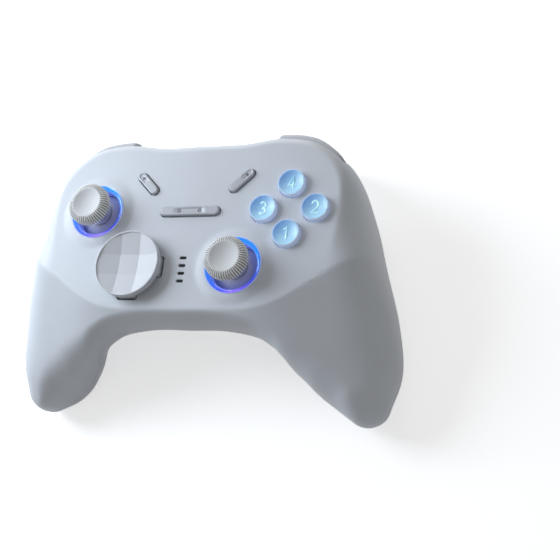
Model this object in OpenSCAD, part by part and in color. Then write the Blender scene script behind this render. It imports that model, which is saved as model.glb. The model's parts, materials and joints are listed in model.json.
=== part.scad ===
// Handheld game controller: two-part shell, two sticks, direction pad, buttons, bumpers and triggers.
// Modelled lying face up: X to the right, Y towards the bumpers, Z up, resting on Z = 0.

/* [Body] */
// Overall width across the two grips
body_w = 156; // [152:1:164]
// Depth from the grip tips to the top edge of the shell
body_d = 105; // [103:1:110]
// Height of the flat face above the table
face_h = 44; // [43:0.5:48]
// Wall thickness of both shells
wall = 2.2; // [1.8:0.1:2.6]
// Distance of the crease below the face centre
crease_y = 20.3; // [19:0.1:22]
// Fall of the grips below the crease, per millimetre
crease_fall = 0.5; // [0.4:0.02:0.56]
// Gap along the line where the two shells meet
seam_gap = 0.15; // [0.1:0.05:0.3]
// Gap around every button that slides in the face
button_gap = 0.3; // [0.25:0.05:0.45]

/* [Sticks] */
// Left stick, distance left of the middle
stick_left_x = 39.5; // [38:0.5:41]
// Left stick, distance above the face centre
stick_left_y = 19.3; // [18.5:0.1:20]
// Right stick, distance right of the middle
stick_right_x = 20.5; // [20:0.5:22]
// Right stick, distance below the face centre
stick_right_y = 3.4; // [2.5:0.1:4.5]
// Depth of the tilt centre below the face
stick_pivot = 12.5; // [12.3:0.1:13]
// Height of the cap's rim above the face
cap_h = 10; // [9.8:0.1:11]
// Radius over the knurled rim of the cap
cap_r = 8.3; // [8:0.1:8.5]
// Radius of the smooth dish in the cap
dish_r = 5.7; // [5.2:0.1:6]
// Depth of that dish
dish_depth = 1.1; // [0.8:0.1:1.4]
// Thickness of the cap's knurled band
cap_t = 4.3; // [3.8:0.1:4.5]
// Number of knurls round the cap
knurl_count = 50; // [40:1:60]
// Travel of the stick when it is clicked
click_travel = 0.4; // [0.3:0.05:0.5]
// Outer radius of the light ring
ring_r = 11.05; // [10.8:0.05:11.5]
// Width of the light ring seen from above
ring_w = 1.75; // [1.5:0.05:1.8]
// Height of the light ring above the face
ring_h = 1; // [0.6:0.1:1]

/* [Direction pad] */
// Direction pad, distance left of the middle
pad_x = 20.7; // [20:0.1:22]
// Direction pad, distance below the face centre
pad_y = 3.8; // [3:0.1:4.5]
// Radius of the disc
pad_r = 13; // [12.5:0.25:13.5]
// Height of the disc's rim above the face
pad_h = 4.9; // [4.4:0.1:5.4]
// Thickness of the disc at its rim
pad_t = 2.7; // [2.4:0.1:3]
// Width of the arms of the cross under the disc
arm_w = 8; // [7:0.5:9]
// Reach of those arms from the middle
arm_reach = 12.4; // [12:0.1:13]

/* [Buttons] */
// Middle of the four face buttons, distance right of the middle
cluster_x = 39.8; // [39:0.1:41]
// Middle of the four face buttons, distance above the face centre
cluster_y = 18.6; // [17.5:0.1:19.5]
// Distance of each face button from the middle of the four
cluster_r = 10; // [9.8:0.1:10.6]
// Radius of a face button
button_r = 5.15; // [4.9:0.05:5.4]
// Height of a face button above the face
button_h = 2.1; // [1.8:0.1:2.6]
// Travel of a face button
button_travel = 1.4; // [1.2:0.1:1.6]
// Menu buttons, distance from the middle
menu_x = 19.5; // [18.5:0.5:20.5]
// Menu buttons, distance above the face centre
menu_y = 30.8; // [30:0.1:31.5]
// Length of a menu button
menu_l = 11.8; // [11:0.1:12.2]
// Width of a menu button
menu_w = 3.5; // [3.2:0.1:3.6]
// Height of a menu button above the face
menu_h = 1.1; // [0.9:0.1:1.4]
// Slant of the menu buttons
menu_slant = 45; // [35:1:55]
// Travel of a menu button
menu_travel = 0.8; // [0.6:0.1:0.9]
// Centre bar, distance above the face centre
bar_y = 18.6; // [18:0.1:19.2]
// Length of the centre bar
bar_l = 24.2; // [22:0.2:25]
// Width of the centre bar
bar_w = 3.6; // [3.2:0.1:4]
// Height of the centre bar above the face
bar_h = 1.2; // [1:0.1:1.5]
// Distance between the four light windows
lamp_pitch = 3.05; // [2.8:0.05:3.3]
// Length of a light window
lamp_l = 2.8; // [2.4:0.1:3]
// Width of a light window
lamp_w = 1.2; // [0.9:0.1:1.4]
// Topmost light window, distance below the face centre
lamp_y = 0.2; // [0:0.1:0.6]

/* [Bumpers and triggers] */
// Height of the bumpers
bumper_h = 11.4; // [10.8:0.1:11.6]
// Thickness of the bumpers
bumper_t = 5.2; // [5:0.1:5.6]
// Depth of the upper edge of the bumpers below the face
bumper_drop = 3.6; // [3.4:0.1:4]
// How far the bumpers stand out beyond the shell's edge
bumper_out = 0.9; // [0.6:0.1:1]
// Inner end of the triggers, distance from the middle
trigger_x0 = 28.5; // [28:0.1:29]
// Outer end of the triggers, distance from the middle
trigger_x1 = 47; // [46.5:0.1:48]
// How far the trigger lips stand out beyond the shell's edge
trigger_out = 6.5; // [5.5:0.5:7.5]
// Radius of the trigger pins
trigger_pin_r = 1.3; // [1.2:0.05:1.4]

/* [Inside] */
// Thickness of every circuit board
board_t = 1.6; // [1.2:0.1:1.6]
// Depth of the main board's upper side below the face
board_z = 20; // [19.8:0.1:20.4]
// Thickness of the chassis plate
chassis_t = 1.6; // [1.4:0.1:2]
// Height of the standoffs between chassis and main board
standoff = 0.8; // [0.6:0.1:1]
// Radius of the rumble motors
motor_r = 9; // [8:0.1:9.2]
// Length of the rumble motors
motor_l = 12; // [11:0.5:13]
// Radius of the rumble weights
weight_r = 8; // [7:0.1:8.5]
// Thickness of the rumble weights
weight_t = 6; // [5:0.5:7]
// Width of the battery
battery_w = 28; // [24:1:29]
// Length of the battery
battery_l = 25; // [22:1:25]
// Thickness of the battery
battery_t = 9; // [7:0.5:9.5]
// Shank radius of the case screws
screw_r = 1.2; // [1.1:0.05:1.3]
// Head radius of the case screws
screw_head_r = 2.4; // [2.2:0.1:2.5]
// Radius of the posts that the case screws go through
post_r = 4; // [3.8:0.1:4.2]

/* [Hidden] */
$fn = 48;
// A thin overlap, a length beyond every wall, how far a cut runs past a surface, how far joined shapes overlap.
hair = 0.05;
far = 30;
past = 1;
bite = 0.5;

// Half of the shell in plan, from the middle to the grip, one row a station:
// inner edge x and y, outer edge x and y, depth of the seam, inner and outer rounding, depth of the back.
plan = [
    [0, -24, 0, 49.5, 12, 3.5, 6, 30],
    [14, -24, 17, 49.5, 12, 3.5, 6, 30],
    [27, -26, 33, 51.5, 13, 4, 5.5, 30],
    [34, -29.5, 48, 48.5, 15, 4.5, 5, 30],
    [38, -33, 60, 38.5, 17, 5, 7.5, 33],
    [41, -36.5, 66.5, 22.5, 24, 5.5, 15, 36],
    [44.5, -39.5, 71, 5, 28.5, 6, 17, 40],
    [49, -43.5, 76, -14, 32.5, 6, 18, 44],
    [55, -47.5, 78, -31.5, 35.5, 6.5, 17, 46]];
plan_h = 44;
// The grip's tip is an arc round this point, between these two directions.
tip_at = [66.5, -45];
tip_r = 8.5;
tip_from = -122;
tip_to = -12;
tip_seam = 34;
tip_back = 44;
// A grip whose half width is under this closes like a dome.
dome_r = 13;
// Where the crease bends up towards the sides, how steeply, and how softly.
crease_bend = 33;
crease_slope = 0.643;
crease_blend = 6;
crease_soft = 1.5;
// Exponent of the rounded back, and the hump that holds the battery.
back_round = 2.4;
hump_at = [0, 12];
hump_half = [36, 24];
hump_blend = 8.5;

k_x = body_w / (2 * plan[8][2]);
k_y = body_d / (plan[2][3] - tip_at[1] + tip_r);
k_z = face_h / plan_h;
rear_reach = (tip_r - tip_at[1]) * k_y;
trigger_reach = plan[2][3] * k_y + trigger_out;
shift_y = (rear_reach - trigger_reach) / 2;
tip_c = [tip_at[0] * k_x, tip_at[1] * k_y];
tip_rr = tip_r * k_y;
last = len(plan);

function polar(r, a) = [r * cos(a), r * sin(a)];
function spline(a, b, c, d, t) = 0.5 * (2 * b + (c - a) * t + (2 * a - 5 * b + 4 * c - d) * t * t
    + (3 * b - a - 3 * c + d) * t * t * t);
function scaled(p) = [p[0] * k_x, p[1] * k_y, p[2] * k_x, p[3] * k_y, -p[4] * k_z, p[5], p[6], -p[7] * k_z];
function tip_station(t) = let (mid = (tip_from + tip_to) / 2,
    a = tip_c + polar(tip_rr, tip_from + (mid - tip_from) * t),
    b = tip_c + polar(tip_rr, tip_to + (mid - tip_to) * t))
    [a[0], a[1], b[0], b[1], -tip_seam * k_z, plan[8][5], plan[8][6], -tip_back * k_z];
stations = concat([for (p = plan) scaled(p)], [tip_station(0)]);
function beyond() = let (s = stations[last], p = stations[last - 1],
    a = polar(norm([s[0] - p[0], s[1] - p[1]]), tip_from + 90),
    b = polar(norm([s[2] - p[2], s[3] - p[3]]), tip_to - 90))
    s + [a[0], a[1], b[0], b[1], 0, 0, 0, 0];
function flip(s) = [-s[0], s[1], -s[2], s[3], s[4], s[5], s[6], s[7]];
function row(k) = k < 0 ? flip(stations[-k]) : k > last ? beyond() : stations[k];
function half_station(u) = u >= last ? tip_station(u - last)
    : let (i = floor(u)) spline(row(i - 1), row(i), row(i + 1), row(i + 2), u - i);
function station(u) = u < 0 ? flip(half_station(-u)) : half_station(u);

function smooth_max(a, b, k) = max(a, b) + pow(max(k - abs(a - b), 0), 2) / (4 * k);
function below_crease(x, y) = smooth_max(-crease_y - y,
    (crease_slope * (abs(x) - crease_bend) - crease_y - y) / norm([1, crease_slope]), crease_blend);
function ramp(c) = c <= -crease_soft ? 0 : c >= crease_soft ? c : pow(c + crease_soft, 2) / (4 * crease_soft);
function face_z(x, y) = -crease_fall * ramp(below_crease(x, y));
function step(t) = let (c = min(max(t, 0), 1)) c * c * (3 - 2 * c);
function hump(x, y, inset) = step((hump_half[0] - inset - abs(x - hump_at[0])) / hump_blend)
    * step((hump_half[1] - inset - abs(y - hump_at[1])) / hump_blend);

// One crosswise curve of the front (over the face) and of the back, as points from the inner to the outer edge.
round_steps = 6;
flat_steps = 9;
back_steps = 24;
function edge_pts(s, inset) = let (a = [s[0], s[1]], b = [s[2], s[3]], d = (b - a) / norm(b - a))
    [a + d * inset, b - d * inset];
function dome(span) = sin(90 * min(1, span / 2 / dome_r));
function front_curve(u, inset) = let (s = station(u), e = edge_pts(s, inset), a = e[0], b = e[1],
    span = norm(b - a), d = (b - a) / span, f = dome(span),
    want_a = max(s[5] - inset, 1), want_b = max(s[6] - inset, 1), fit = min(1, span / (want_a + want_b)),
    ra = want_a * fit, rb = want_b * fit,
    at = concat([for (i = [0:round_steps]) let (g = 90 * i / round_steps) [ra * (1 - cos(g)), sin(g)]],
        [for (i = [1:flat_steps - 1]) [ra + (span - ra - rb) * i / flat_steps, 1]],
        [for (i = [0:round_steps]) let (g = 90 - 90 * i / round_steps) [span - rb * (1 - cos(g)), sin(g)]]))
    [for (p = at) let (q = a + d * p[0]) [q[0], q[1], s[4] + (face_z(q[0], q[1]) - inset - s[4]) * p[1] * f]];
function back_curve(u, inset) = let (s = station(u), e = edge_pts(s, inset), a = e[0], b = e[1],
    span = norm(b - a), f = dome(span), z0 = s[4] - seam_gap)
    [for (i = [0:back_steps]) let (t = (1 - cos(180 * i / back_steps)) / 2, q = a + (b - a) * t,
        z = z0 - (z0 - s[7] - inset) * f * pow(max(1 - pow(abs(2 * t - 1), back_round), 0), 1 / back_round),
        h = hump(q[0], q[1], inset) * step(sin(180 * t) * 2))
        [q[0], q[1], max(z + (-face_h + inset - z) * h, -face_h + inset)]];

// A thin-walled half shell: outer and inner curves joined along the seam and at the two tips.
rows = 26;
tip_cut = 0.97;
tip_cut_in = 0.45;
u_outer = last + tip_cut;
u_inner = last + tip_cut_in;
module skin(outer, inner) {
    n = len(outer);
    m = len(outer[0]);
    function at(k, j) = k * m + j;
    function inner_at(k, j) = n * m + k * m + j;
    points = concat([for (r = outer) for (p = r) p], [for (r = inner) for (p = r) p]);
    quads = concat(
        [for (k = [0:n - 2]) for (j = [0:m - 2]) [at(k, j), at(k, j + 1), at(k + 1, j + 1), at(k + 1, j)]],
        [for (k = [0:n - 2]) for (j = [0:m - 2])
            [inner_at(k, j), inner_at(k + 1, j), inner_at(k + 1, j + 1), inner_at(k, j + 1)]],
        [for (k = [0:n - 2]) [at(k, 0), at(k + 1, 0), inner_at(k + 1, 0), inner_at(k, 0)]],
        [for (k = [0:n - 2]) [at(k, m - 1), inner_at(k, m - 1), inner_at(k + 1, m - 1), at(k + 1, m - 1)]],
        [for (j = [0:m - 2]) [at(0, j), inner_at(0, j), inner_at(0, j + 1), at(0, j + 1)]],
        [for (j = [0:m - 2]) [at(n - 1, j), at(n - 1, j + 1), inner_at(n - 1, j + 1), inner_at(n - 1, j)]]);
    half = floor(n / 2);
    polyhedron(points, [for (q = quads) let (left = floor((min(q) % (n * m)) / m) < half)
        for (t = left ? [[q[0], q[1], q[3]], [q[1], q[2], q[3]]]
            : [[q[0], q[1], q[2]], [q[0], q[2], q[3]]]) t]);
}
function spread(k) = k / rows;
module front_skin() {
    skin([for (k = [-rows:rows]) front_curve(spread(k) * u_outer, 0)],
        [for (k = [-rows:rows]) front_curve(spread(k) * u_inner, wall)]);
}
module back_skin() {
    mirror([0, 0, 1]) skin(
        [for (k = [-rows:rows]) [for (p = back_curve(spread(k) * u_outer, 0)) [p[0], p[1], -p[2]]]],
        [for (k = [-rows:rows]) [for (p = back_curve(spread(k) * u_inner, wall)) [p[0], p[1], -p[2]]]]);
}
module place() { translate([0, shift_y, face_h]) children(); }
module mirrored(side) { if (side < 0) mirror([1, 0, 0]) children(); else children(); }
// A closed tube through a list of equal rings of points; each flat end is a strip between its two sides.
module tube(rings) {
    n = len(rings);
    m = len(rings[0]);
    points = [for (r = rings) for (p = r) p];
    sides = [for (k = [0:n - 2]) for (j = [0:m - 1]) let (a = k * m + j, b = k * m + (j + 1) % m)
        for (t = [[a, b, b + m], [a, b + m, a + m]]) t];
    far_end = (n - 1) * m;
    ends = [for (j = [0:m / 2 - 2]) let (a = j, b = j + 1, c = m - 2 - j, d = m - 1 - j, e = far_end)
        for (t = [[a, c, b], [a, d, c], [a + e, b + e, c + e], [a + e, c + e, d + e]]) t];
    polyhedron(points, concat(sides, ends));
}
module stadium(l, w, h) {
    linear_extrude(h) union() {
        square([l - w, w], center = true);
        for (s = [-1, 1]) translate([s * (l - w) / 2, 0]) circle(d = w);
    }
}
module bar_along_y(r, y0, y1) { translate([0, y0, 0]) rotate([-90, 0, 0]) cylinder(r = r, h = y1 - y0); }
module bar_along_x(r, x0, x1) { translate([x0, 0, 0]) rotate([0, 90, 0]) cylinder(r = r, h = x1 - x0); }
module at(p, z) { translate([p[0], p[1], z]) children(); }

// Depths below the face, from the top down.
run_gap = 0.05;
fit_gap = 0.1;
clear = 0.3;
board_top = -board_z * k_z;
board_low = board_top - board_t;
chassis_top = board_low - standoff;
chassis_low = chassis_top - chassis_t;
floor_in = -face_h + wall;
under_face = -wall;
flange_t = 0.9;
flange_top = under_face - clear;
flange_low = flange_top - flange_t;
rubber_h = 4.1;
dome_top = board_top + rubber_h;
pivot_z = -stick_pivot;
mid_wall = -wall / 2;
cut_low = -2 * wall;
cut_h = 4 * wall;

// Places of the controls on the face.
left_stick = [-stick_left_x, stick_left_y];
right_stick = [stick_right_x, -stick_right_y];
pad_at = [-pad_x, -pad_y];
cluster = [cluster_x, cluster_y];
button_dirs = [-90, 0, 180, 90];
function button_at(i) = cluster + polar(cluster_r, button_dirs[i - 1]);
lamps = [for (i = [0:3]) [0, -lamp_y - lamp_pitch * i]];
arm_round = 1.2;
module cross_shape(reach, width) {
    for (a = [0, 90]) rotate(a) offset(r = arm_round)
        square([2 * (reach - arm_round), width - 2 * arm_round], center = true);
}

// Case screws: two beside the middle and one in each grip.
mid_post = [19, 16.5];
grip_post = [(stations[8][0] + stations[8][2]) / 2, (stations[8][1] + stations[8][3]) / 2];
seat_depth = 12;
seat_z = -face_h + seat_depth;
screw_grip = 5;
pilot_r = screw_r + fit_gap;
face_post_r = 3;
grip_post_top = face_z(grip_post[0], grip_post[1]) - crease_fall * face_post_r - wall;
module at_each(p) { for (s = [-1, 1]) translate([s * p[0], p[1], 0]) children(); }
module upright(r, z0, z1) { translate([0, 0, z0]) cylinder(r = r, h = z1 - z0); }

// Edge of the shell between the bumpers' ends, moved outwards by off.
function edge_at(u) = let (s = station(u)) [s[2], s[3]];
edge_step = 0.02;
function edge_out(u) = let (d = edge_at(u + edge_step) - edge_at(u - edge_step)) [-d[1], d[0]] / norm(d);
function edge_off(u, off) = edge_at(u) + edge_out(u) * off;
bumper_u0 = 1.77;
bumper_u1 = 3.78;
bumper_steps = 14;
bumper_low = -bumper_drop - bumper_h;
bumper_in = bumper_out - bumper_t;
bumper_round = 2.4;
corner_step = 30;
bumper_tuck = 1.9;
bumper_tuck_u = 0.8;
bumper_end_gap = 0.025;
bumper_swing_gap = 0.08;
bumper_room = 1.5;
bumper_beyond = 7.5;
bumper_pin_r = 1.2;
bumper_pin_u = 1.55;
bumper_pin_in = 7.5;
bumper_pin = edge_off(bumper_pin_u, -bumper_pin_in);
bumper_arm_u = [1.95, 2.5];
bumper_arm_back = 1;
bumper_arm_half = 2.4;
bumper_hub_r = 2.8;
bumper_hub_top = -6;
bumper_hub_low = -13;
bumper_boss_low = bumper_hub_top + clear;
function bumper_face(u) = bumper_out - bumper_tuck * step((u - bumper_u1 + bumper_tuck_u) / bumper_tuck_u);
function bumper_ring(u) = let (r = bumper_round, t = -bumper_drop, o = bumper_face(u),
    ring = concat([[bumper_in, t]],
        [for (g = [0:corner_step:90]) [o - r + r * sin(g), t - r + r * cos(g)]],
        [for (g = [90:-corner_step:0]) [o - r + r * sin(g), bumper_low + r - r * cos(g)]],
        [[bumper_in, bumper_low]]))
    [for (p = ring) let (q = edge_off(u, p[0])) [q[0], q[1], p[1]]];
module bumper_pocket() {
    u0 = bumper_u0 - bumper_end_gap;
    u1 = bumper_u1 + bumper_swing_gap;
    us = [for (i = [0:bumper_steps]) u0 + (u1 - u0) * i / bumper_steps];
    low = bumper_low - clear - fit_gap;
    translate([0, 0, low]) linear_extrude(-bumper_drop + clear - low)
        polygon(concat([for (u = us) edge_off(u, bumper_beyond)],
            [for (i = [0:bumper_steps]) edge_off(us[bumper_steps - i], bumper_in - bumper_room)]));
}
module bumper() {
    color("silver") difference() {
        union() {
            tube([for (i = [0:bumper_steps])
                bumper_ring(bumper_u0 + (bumper_u1 - bumper_u0) * i / bumper_steps)]);
            at(bumper_pin, bumper_hub_low) cylinder(r = bumper_hub_r, h = bumper_hub_top - bumper_hub_low);
            translate([0, 0, bumper_hub_low]) linear_extrude(bumper_hub_top - bumper_hub_low)
                polygon([bumper_pin - [bumper_arm_back, bumper_arm_half],
                    edge_off(bumper_arm_u[1], bumper_in + bite), edge_off(bumper_arm_u[0], bumper_in + bite),
                    bumper_pin + [-bumper_arm_back, bumper_arm_half]]);
        }
        at(bumper_pin, bumper_low) cylinder(r = bumper_pin_r + run_gap, h = bumper_h);
    }
}

// Triggers turn about a pin along X, behind and below the bumpers.
trigger_lever = 16;
trigger_pin_drop = 6.5;
trigger_drop = 2.4;
trigger_y = trigger_reach - trigger_lever;
trigger_z = bumper_low - trigger_pin_drop;
trigger_top = bumper_low - trigger_drop;
trigger_hub_r = 3.2;
hub_inset = 6;
finger_x0 = trigger_x0 * k_x;
finger_x1 = trigger_x1 * k_x;
hub_x0 = finger_x0 + hub_inset;
hub_x1 = finger_x1 - hub_inset;
// The web between hub and finger plate: how far it runs into the plate, and its depths below the plate's top.
finger_web_in = 0.9;
finger_web_z = [2.8, 7];
finger_web_y = edge_at(2)[1] + finger_web_in;
cheek_t = 1.6;
cheek_inset = 1.1;
cheek_in = finger_x0 + cheek_inset;
cheek_out = hub_x1 + clear;
cheek_r = 3.4;
notch_in = 8.5;
notch_y = trigger_y - notch_in;
notch_gap = 0.5;
// Side view of the finger plate: distance out from the shell's edge and height from the plate's top.
finger_front = [[0, 0], [2.4, -0.7], [4.7, -3.4], [5.3, -8], [5.1, -13], [6.5, -17.6]];
finger_back = [[0, -3.2], [0.9, -4.4], [1.8, -7.4], [2, -12], [3.4, -17.4], [5.6, -19.2]];
finger_steps = 12;
finger_smooth = 3;
finger_lip = finger_front[5][0];
finger_out = trigger_out - finger_lip;
function smooth_line(p, n) = concat([for (i = [0:len(p) - 2]) for (k = [0:n - 1])
    spline(p[max(i - 1, 0)], p[i], p[i + 1], p[min(i + 2, len(p) - 1)], k / n)], [p[len(p) - 1]]);
finger_line = let (a = smooth_line(finger_front, finger_smooth), b = smooth_line(finger_back, finger_smooth))
    concat(a, [for (i = [0:len(b) - 1]) b[len(b) - 1 - i]]);
// Where along the shell's edge the plate starts and ends.
edge_fine = 0.001;
function edge_u(x, lo, hi) = hi - lo < edge_fine ? lo
    : let (m = (lo + hi) / 2) edge_at(m)[0] < x ? edge_u(x, m, hi) : edge_u(x, lo, m);
edge_first = 1;
edge_last = 4;
finger_u0 = edge_u(finger_x0, edge_first, edge_last);
finger_u1 = edge_u(finger_x1, edge_first, edge_last);
function finger_ring(u) = [for (p = finger_line)
    let (q = edge_off(u, p[0] + finger_out)) [q[0], q[1], trigger_top + p[1]]];
module across(x0, x1) { translate([x0, 0, 0]) rotate([90, 0, 90]) linear_extrude(x1 - x0) children(); }
module trigger_axis(r, x0, x1) { translate([0, trigger_y, trigger_z]) bar_along_x(r, x0, x1); }
module trigger() {
    color("silver") difference() {
        union() {
            tube([for (i = [0:finger_steps])
                finger_ring(finger_u0 + (finger_u1 - finger_u0) * i / finger_steps)]);
            across(hub_x0, hub_x1) polygon([[trigger_y, trigger_z + trigger_hub_r - fit_gap],
                [finger_web_y, trigger_top - finger_web_z[0]], [finger_web_y, trigger_top - finger_web_z[1]],
                [trigger_y, trigger_z - trigger_hub_r + fit_gap]]);
            trigger_axis(trigger_hub_r, hub_x0, hub_x1);
        }
        trigger_axis(trigger_pin_r + run_gap, finger_x0, finger_x1);
    }
}
module trigger_notch() {
    translate([finger_x0 - notch_gap, notch_y, -face_h - far])
        cube([finger_x1 - finger_x0 + 2 * notch_gap, far, face_h + far + bumper_low - clear]);
}

collar_h = 0.7;
collar_root = 0.5;
collar_w = 4.6;
collar_rim = 0.4;
module front_shell() {
    color("gainsboro") place() difference() {
        union() {
            front_skin();
            for (p = [left_stick, right_stick]) at(p, -collar_root)
                cylinder(r1 = ring_r + collar_w, r2 = ring_r + collar_rim, h = collar_root + collar_h);
            at_each(mid_post) upright(face_post_r, board_top, mid_wall);
            at_each(grip_post) upright(face_post_r, chassis_low + seam_gap, grip_post_top);
            for (s = [-1, 1]) mirrored(s)
                at(bumper_pin, bumper_boss_low) cylinder(r = bumper_hub_r, h = mid_wall - bumper_boss_low);
            for (y = [lug_in, -lug_in - lug_t]) translate([-lug_w / 2, bar_y + y, bar_pivot - lug_w / 2])
                cube([lug_w, lug_t, mid_wall - bar_pivot + lug_w / 2]);
        }
        for (p = [left_stick, right_stick]) at(p, -far / 2) cylinder(r = ring_r + run_gap, h = far);
        at(pad_at, cut_low) linear_extrude(cut_h) cross_shape(arm_reach + 2 * clear, arm_w + 2 * button_gap);
        for (i = [1:4]) at(button_at(i), cut_low) cylinder(r = button_r + button_gap, h = cut_h);
        for (s = [-1, 1]) translate([s * menu_x, menu_y, cut_low]) rotate([0, 0, s * menu_slant])
            stadium(menu_l + 2 * button_gap, menu_w + 2 * button_gap, cut_h);
        translate([0, bar_y, -wall - hair]) stadium(bar_l + 2 * button_gap, bar_w + 2 * button_gap, cut_h);
        for (p = lamps) at(p, cut_low) translate([-lamp_l / 2, -lamp_w / 2, 0]) cube([lamp_l, lamp_w, cut_h]);
        for (s = [-1, 1]) mirrored(s) {
            bumper_pocket();
            trigger_notch();
            at(bumper_pin, bumper_low) cylinder(r = bumper_pin_r + run_gap, h = -bumper_low - wall - clear);
        }
        at_each(mid_post) upright(pilot_r, chassis_low, chassis_top + standoff + board_t + 2 * screw_grip);
        at_each(grip_post) upright(pilot_r, chassis_low - past, chassis_low + screw_grip);
        usb_hole();
        translate([0, bar_y - lug_in - lug_t - hair, bar_pivot]) bar_along_y(bar_pin_r + run_gap, 0,
            2 * (lug_in + lug_t + hair));
    }
}
module back_shell() {
    color("lightgray") place() difference() {
        union() {
            back_skin();
            at_each(mid_post) upright(post_r, -face_h + wall / 2, chassis_low);
            at_each(grip_post) upright(post_r, -face_h + wall / 2, chassis_low);
        }
        for (p = [mid_post, grip_post]) at_each(p) {
            upright(screw_head_r + clear, -face_h - past, seat_z);
            upright(pilot_r, seat_z - past, chassis_low + past);
        }
        for (s = [-1, 1]) mirrored(s) {
            bumper_pocket();
            trigger_notch();
        }
        usb_hole();
    }
}
module left_bumper() { place() mirrored(-1) bumper(); }
module right_bumper() { place() bumper(); }
plate_top = bumper_low - clear - fit_gap;
plate_low = plate_top - cheek_t;
module bumper_pins() {
    color("dimgray") place() for (s = [-1, 1]) mirrored(s)
        at(bumper_pin, plate_low) cylinder(r = bumper_pin_r, h = -wall - clear - fit_gap - plate_low);
}
// A push switch behind each bumper, turned to face it.
switch_size = [6, 3.4, 4.4];
switch_u = 3.05;
switch_in = 5;
switch_at = edge_off(switch_u, bumper_in - switch_in);
switch_turn = -25;
plunger_r = 0.9;
plunger_l = 0.8;
module bumper_switches() {
    color("dimgray") place() for (s = [-1, 1]) mirrored(s) at(switch_at, plate_top) rotate([0, 0, switch_turn])
        union() {
            translate([-switch_size[0] / 2, -switch_size[1] / 2, 0]) cube(switch_size);
            translate([0, 0, switch_size[2] / 2]) bar_along_y(plunger_r, 0, switch_size[1] / 2 + plunger_l);
        }
}
module left_trigger() { place() mirrored(-1) trigger(); }
module right_trigger() { place() trigger(); }
// Frame of a trigger: a plate that also holds the bumper's pin, an upright web on a foot, and two cheeks.
web_in = 7.2;
web_y0 = trigger_y - web_in;
web_y1 = web_y0 + cheek_t;
frame_w = cheek_out + cheek_t - cheek_in;
frame_foot = [frame_w, 2 * cheek_t, 1.4];
plate_side = 3.5;
plate_nose = 2.5;
plate_line = [[33.2, 11.2], [44, 10.2], [48.5, 7.2], [50, 0]];
plate_front = [for (p = plate_line) [p[0] * k_x, web_y0 + p[1]]];
module trigger_frame() {
    color("dimgray") difference() {
        union() {
            translate([0, 0, plate_low]) linear_extrude(cheek_t) polygon(concat(
                [[bumper_pin[0] - plate_side, web_y0], bumper_pin + [-plate_side, plate_nose]], plate_front));
            translate([cheek_in, web_y0, chassis_top]) cube([frame_w, cheek_t, plate_top - chassis_top]);
            translate([cheek_in, web_y0 - cheek_t, chassis_top]) cube(frame_foot);
            for (x = [cheek_in, cheek_out]) {
                across(x, x + cheek_t) polygon([[web_y0, plate_top], [trigger_y + cheek_r, plate_top],
                    [trigger_y + cheek_r, trigger_z], [trigger_y, trigger_z - cheek_r], [web_y0, trigger_z]]);
                trigger_axis(cheek_r, x, x + cheek_t);
            }
        }
        trigger_axis(trigger_pin_r, cheek_in - past, cheek_out + cheek_t + past);
        at(bumper_pin, plate_low - past) cylinder(r = bumper_pin_r, h = cheek_t + 2 * past);
    }
}
module left_trigger_frame() { place() mirrored(-1) trigger_frame(); }
module right_trigger_frame() { place() trigger_frame(); }
module trigger_pins() {
    color("silver") place() for (s = [-1, 1]) mirrored(s)
        trigger_axis(trigger_pin_r, cheek_in, cheek_out + cheek_t);
}
spring_r = 2.3;
wire_r = 0.35;
spring_turns = 2.5;
spring_x0 = cheek_in + cheek_t + wire_r + fit_gap;
spring_x1 = hub_x0 - wire_r - fit_gap;
spring_rings = 20;
wire_sides = 6;
function spring_ring(i) = let (t = i / spring_rings, a = 360 * spring_turns * t,
    x = spring_x0 + (spring_x1 - spring_x0) * t)
    [for (j = [0:wire_sides - 1]) let (b = 360 / wire_sides * j, r = spring_r + wire_r * cos(b))
        [x + wire_r * sin(b), trigger_y + r * cos(a), trigger_z + r * sin(a)]];
module trigger_springs() {
    color("silver") place() for (s = [-1, 1]) mirrored(s) tube([for (i = [0:spring_rings]) spring_ring(i)]);
}
sensor_size = [4, 1.6, 3];
sensor_low = trigger_z - 0.5;
module trigger_sensors() {
    color("black") place() for (s = [-1, 1]) mirrored(s)
        translate([(hub_x0 + hub_x1 - sensor_size[0]) / 2, web_y1, sensor_low]) cube(sensor_size);
}

// Light ring round a stick, with its flange under the face and its lamp board below.
ring_flange = 1.5;
ring_flange_t = 1.3;
ring_low = under_face - fit_gap - ring_flange_t;
ring_bevel = 0.4;
ring_inner_bevel = [0.5, 0.6];
ring_slope = 0.3;
module light_ring(p) {
    color("royalblue") place() at(p, 0) rotate_extrude() polygon([[ring_r - ring_w, ring_low],
        [ring_r + ring_flange, ring_low], [ring_r + ring_flange, ring_low + ring_flange_t],
        [ring_r, ring_low + ring_flange_t], [ring_r, ring_h - ring_bevel], [ring_r - ring_bevel, ring_h],
        [ring_r - ring_w + ring_inner_bevel[0], ring_h - ring_slope],
        [ring_r - ring_w, ring_h - ring_slope - ring_inner_bevel[1]]]);
}
module left_light_ring() { light_ring(left_stick); }
module right_light_ring() { light_ring(right_stick); }
ring_board_t = 1;
ring_board_r = ring_r + ring_flange + 0.8;
module ring_board(p) {
    color("darkgreen") place() at(p, 0) difference() {
        upright(ring_board_r, ring_low - ring_board_t, ring_low);
        upright(ring_r - ring_w, ring_low - ring_board_t - past, ring_low + past);
    }
}
module left_ring_board() { ring_board(left_stick); }
module right_ring_board() { ring_board(right_stick); }

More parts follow.
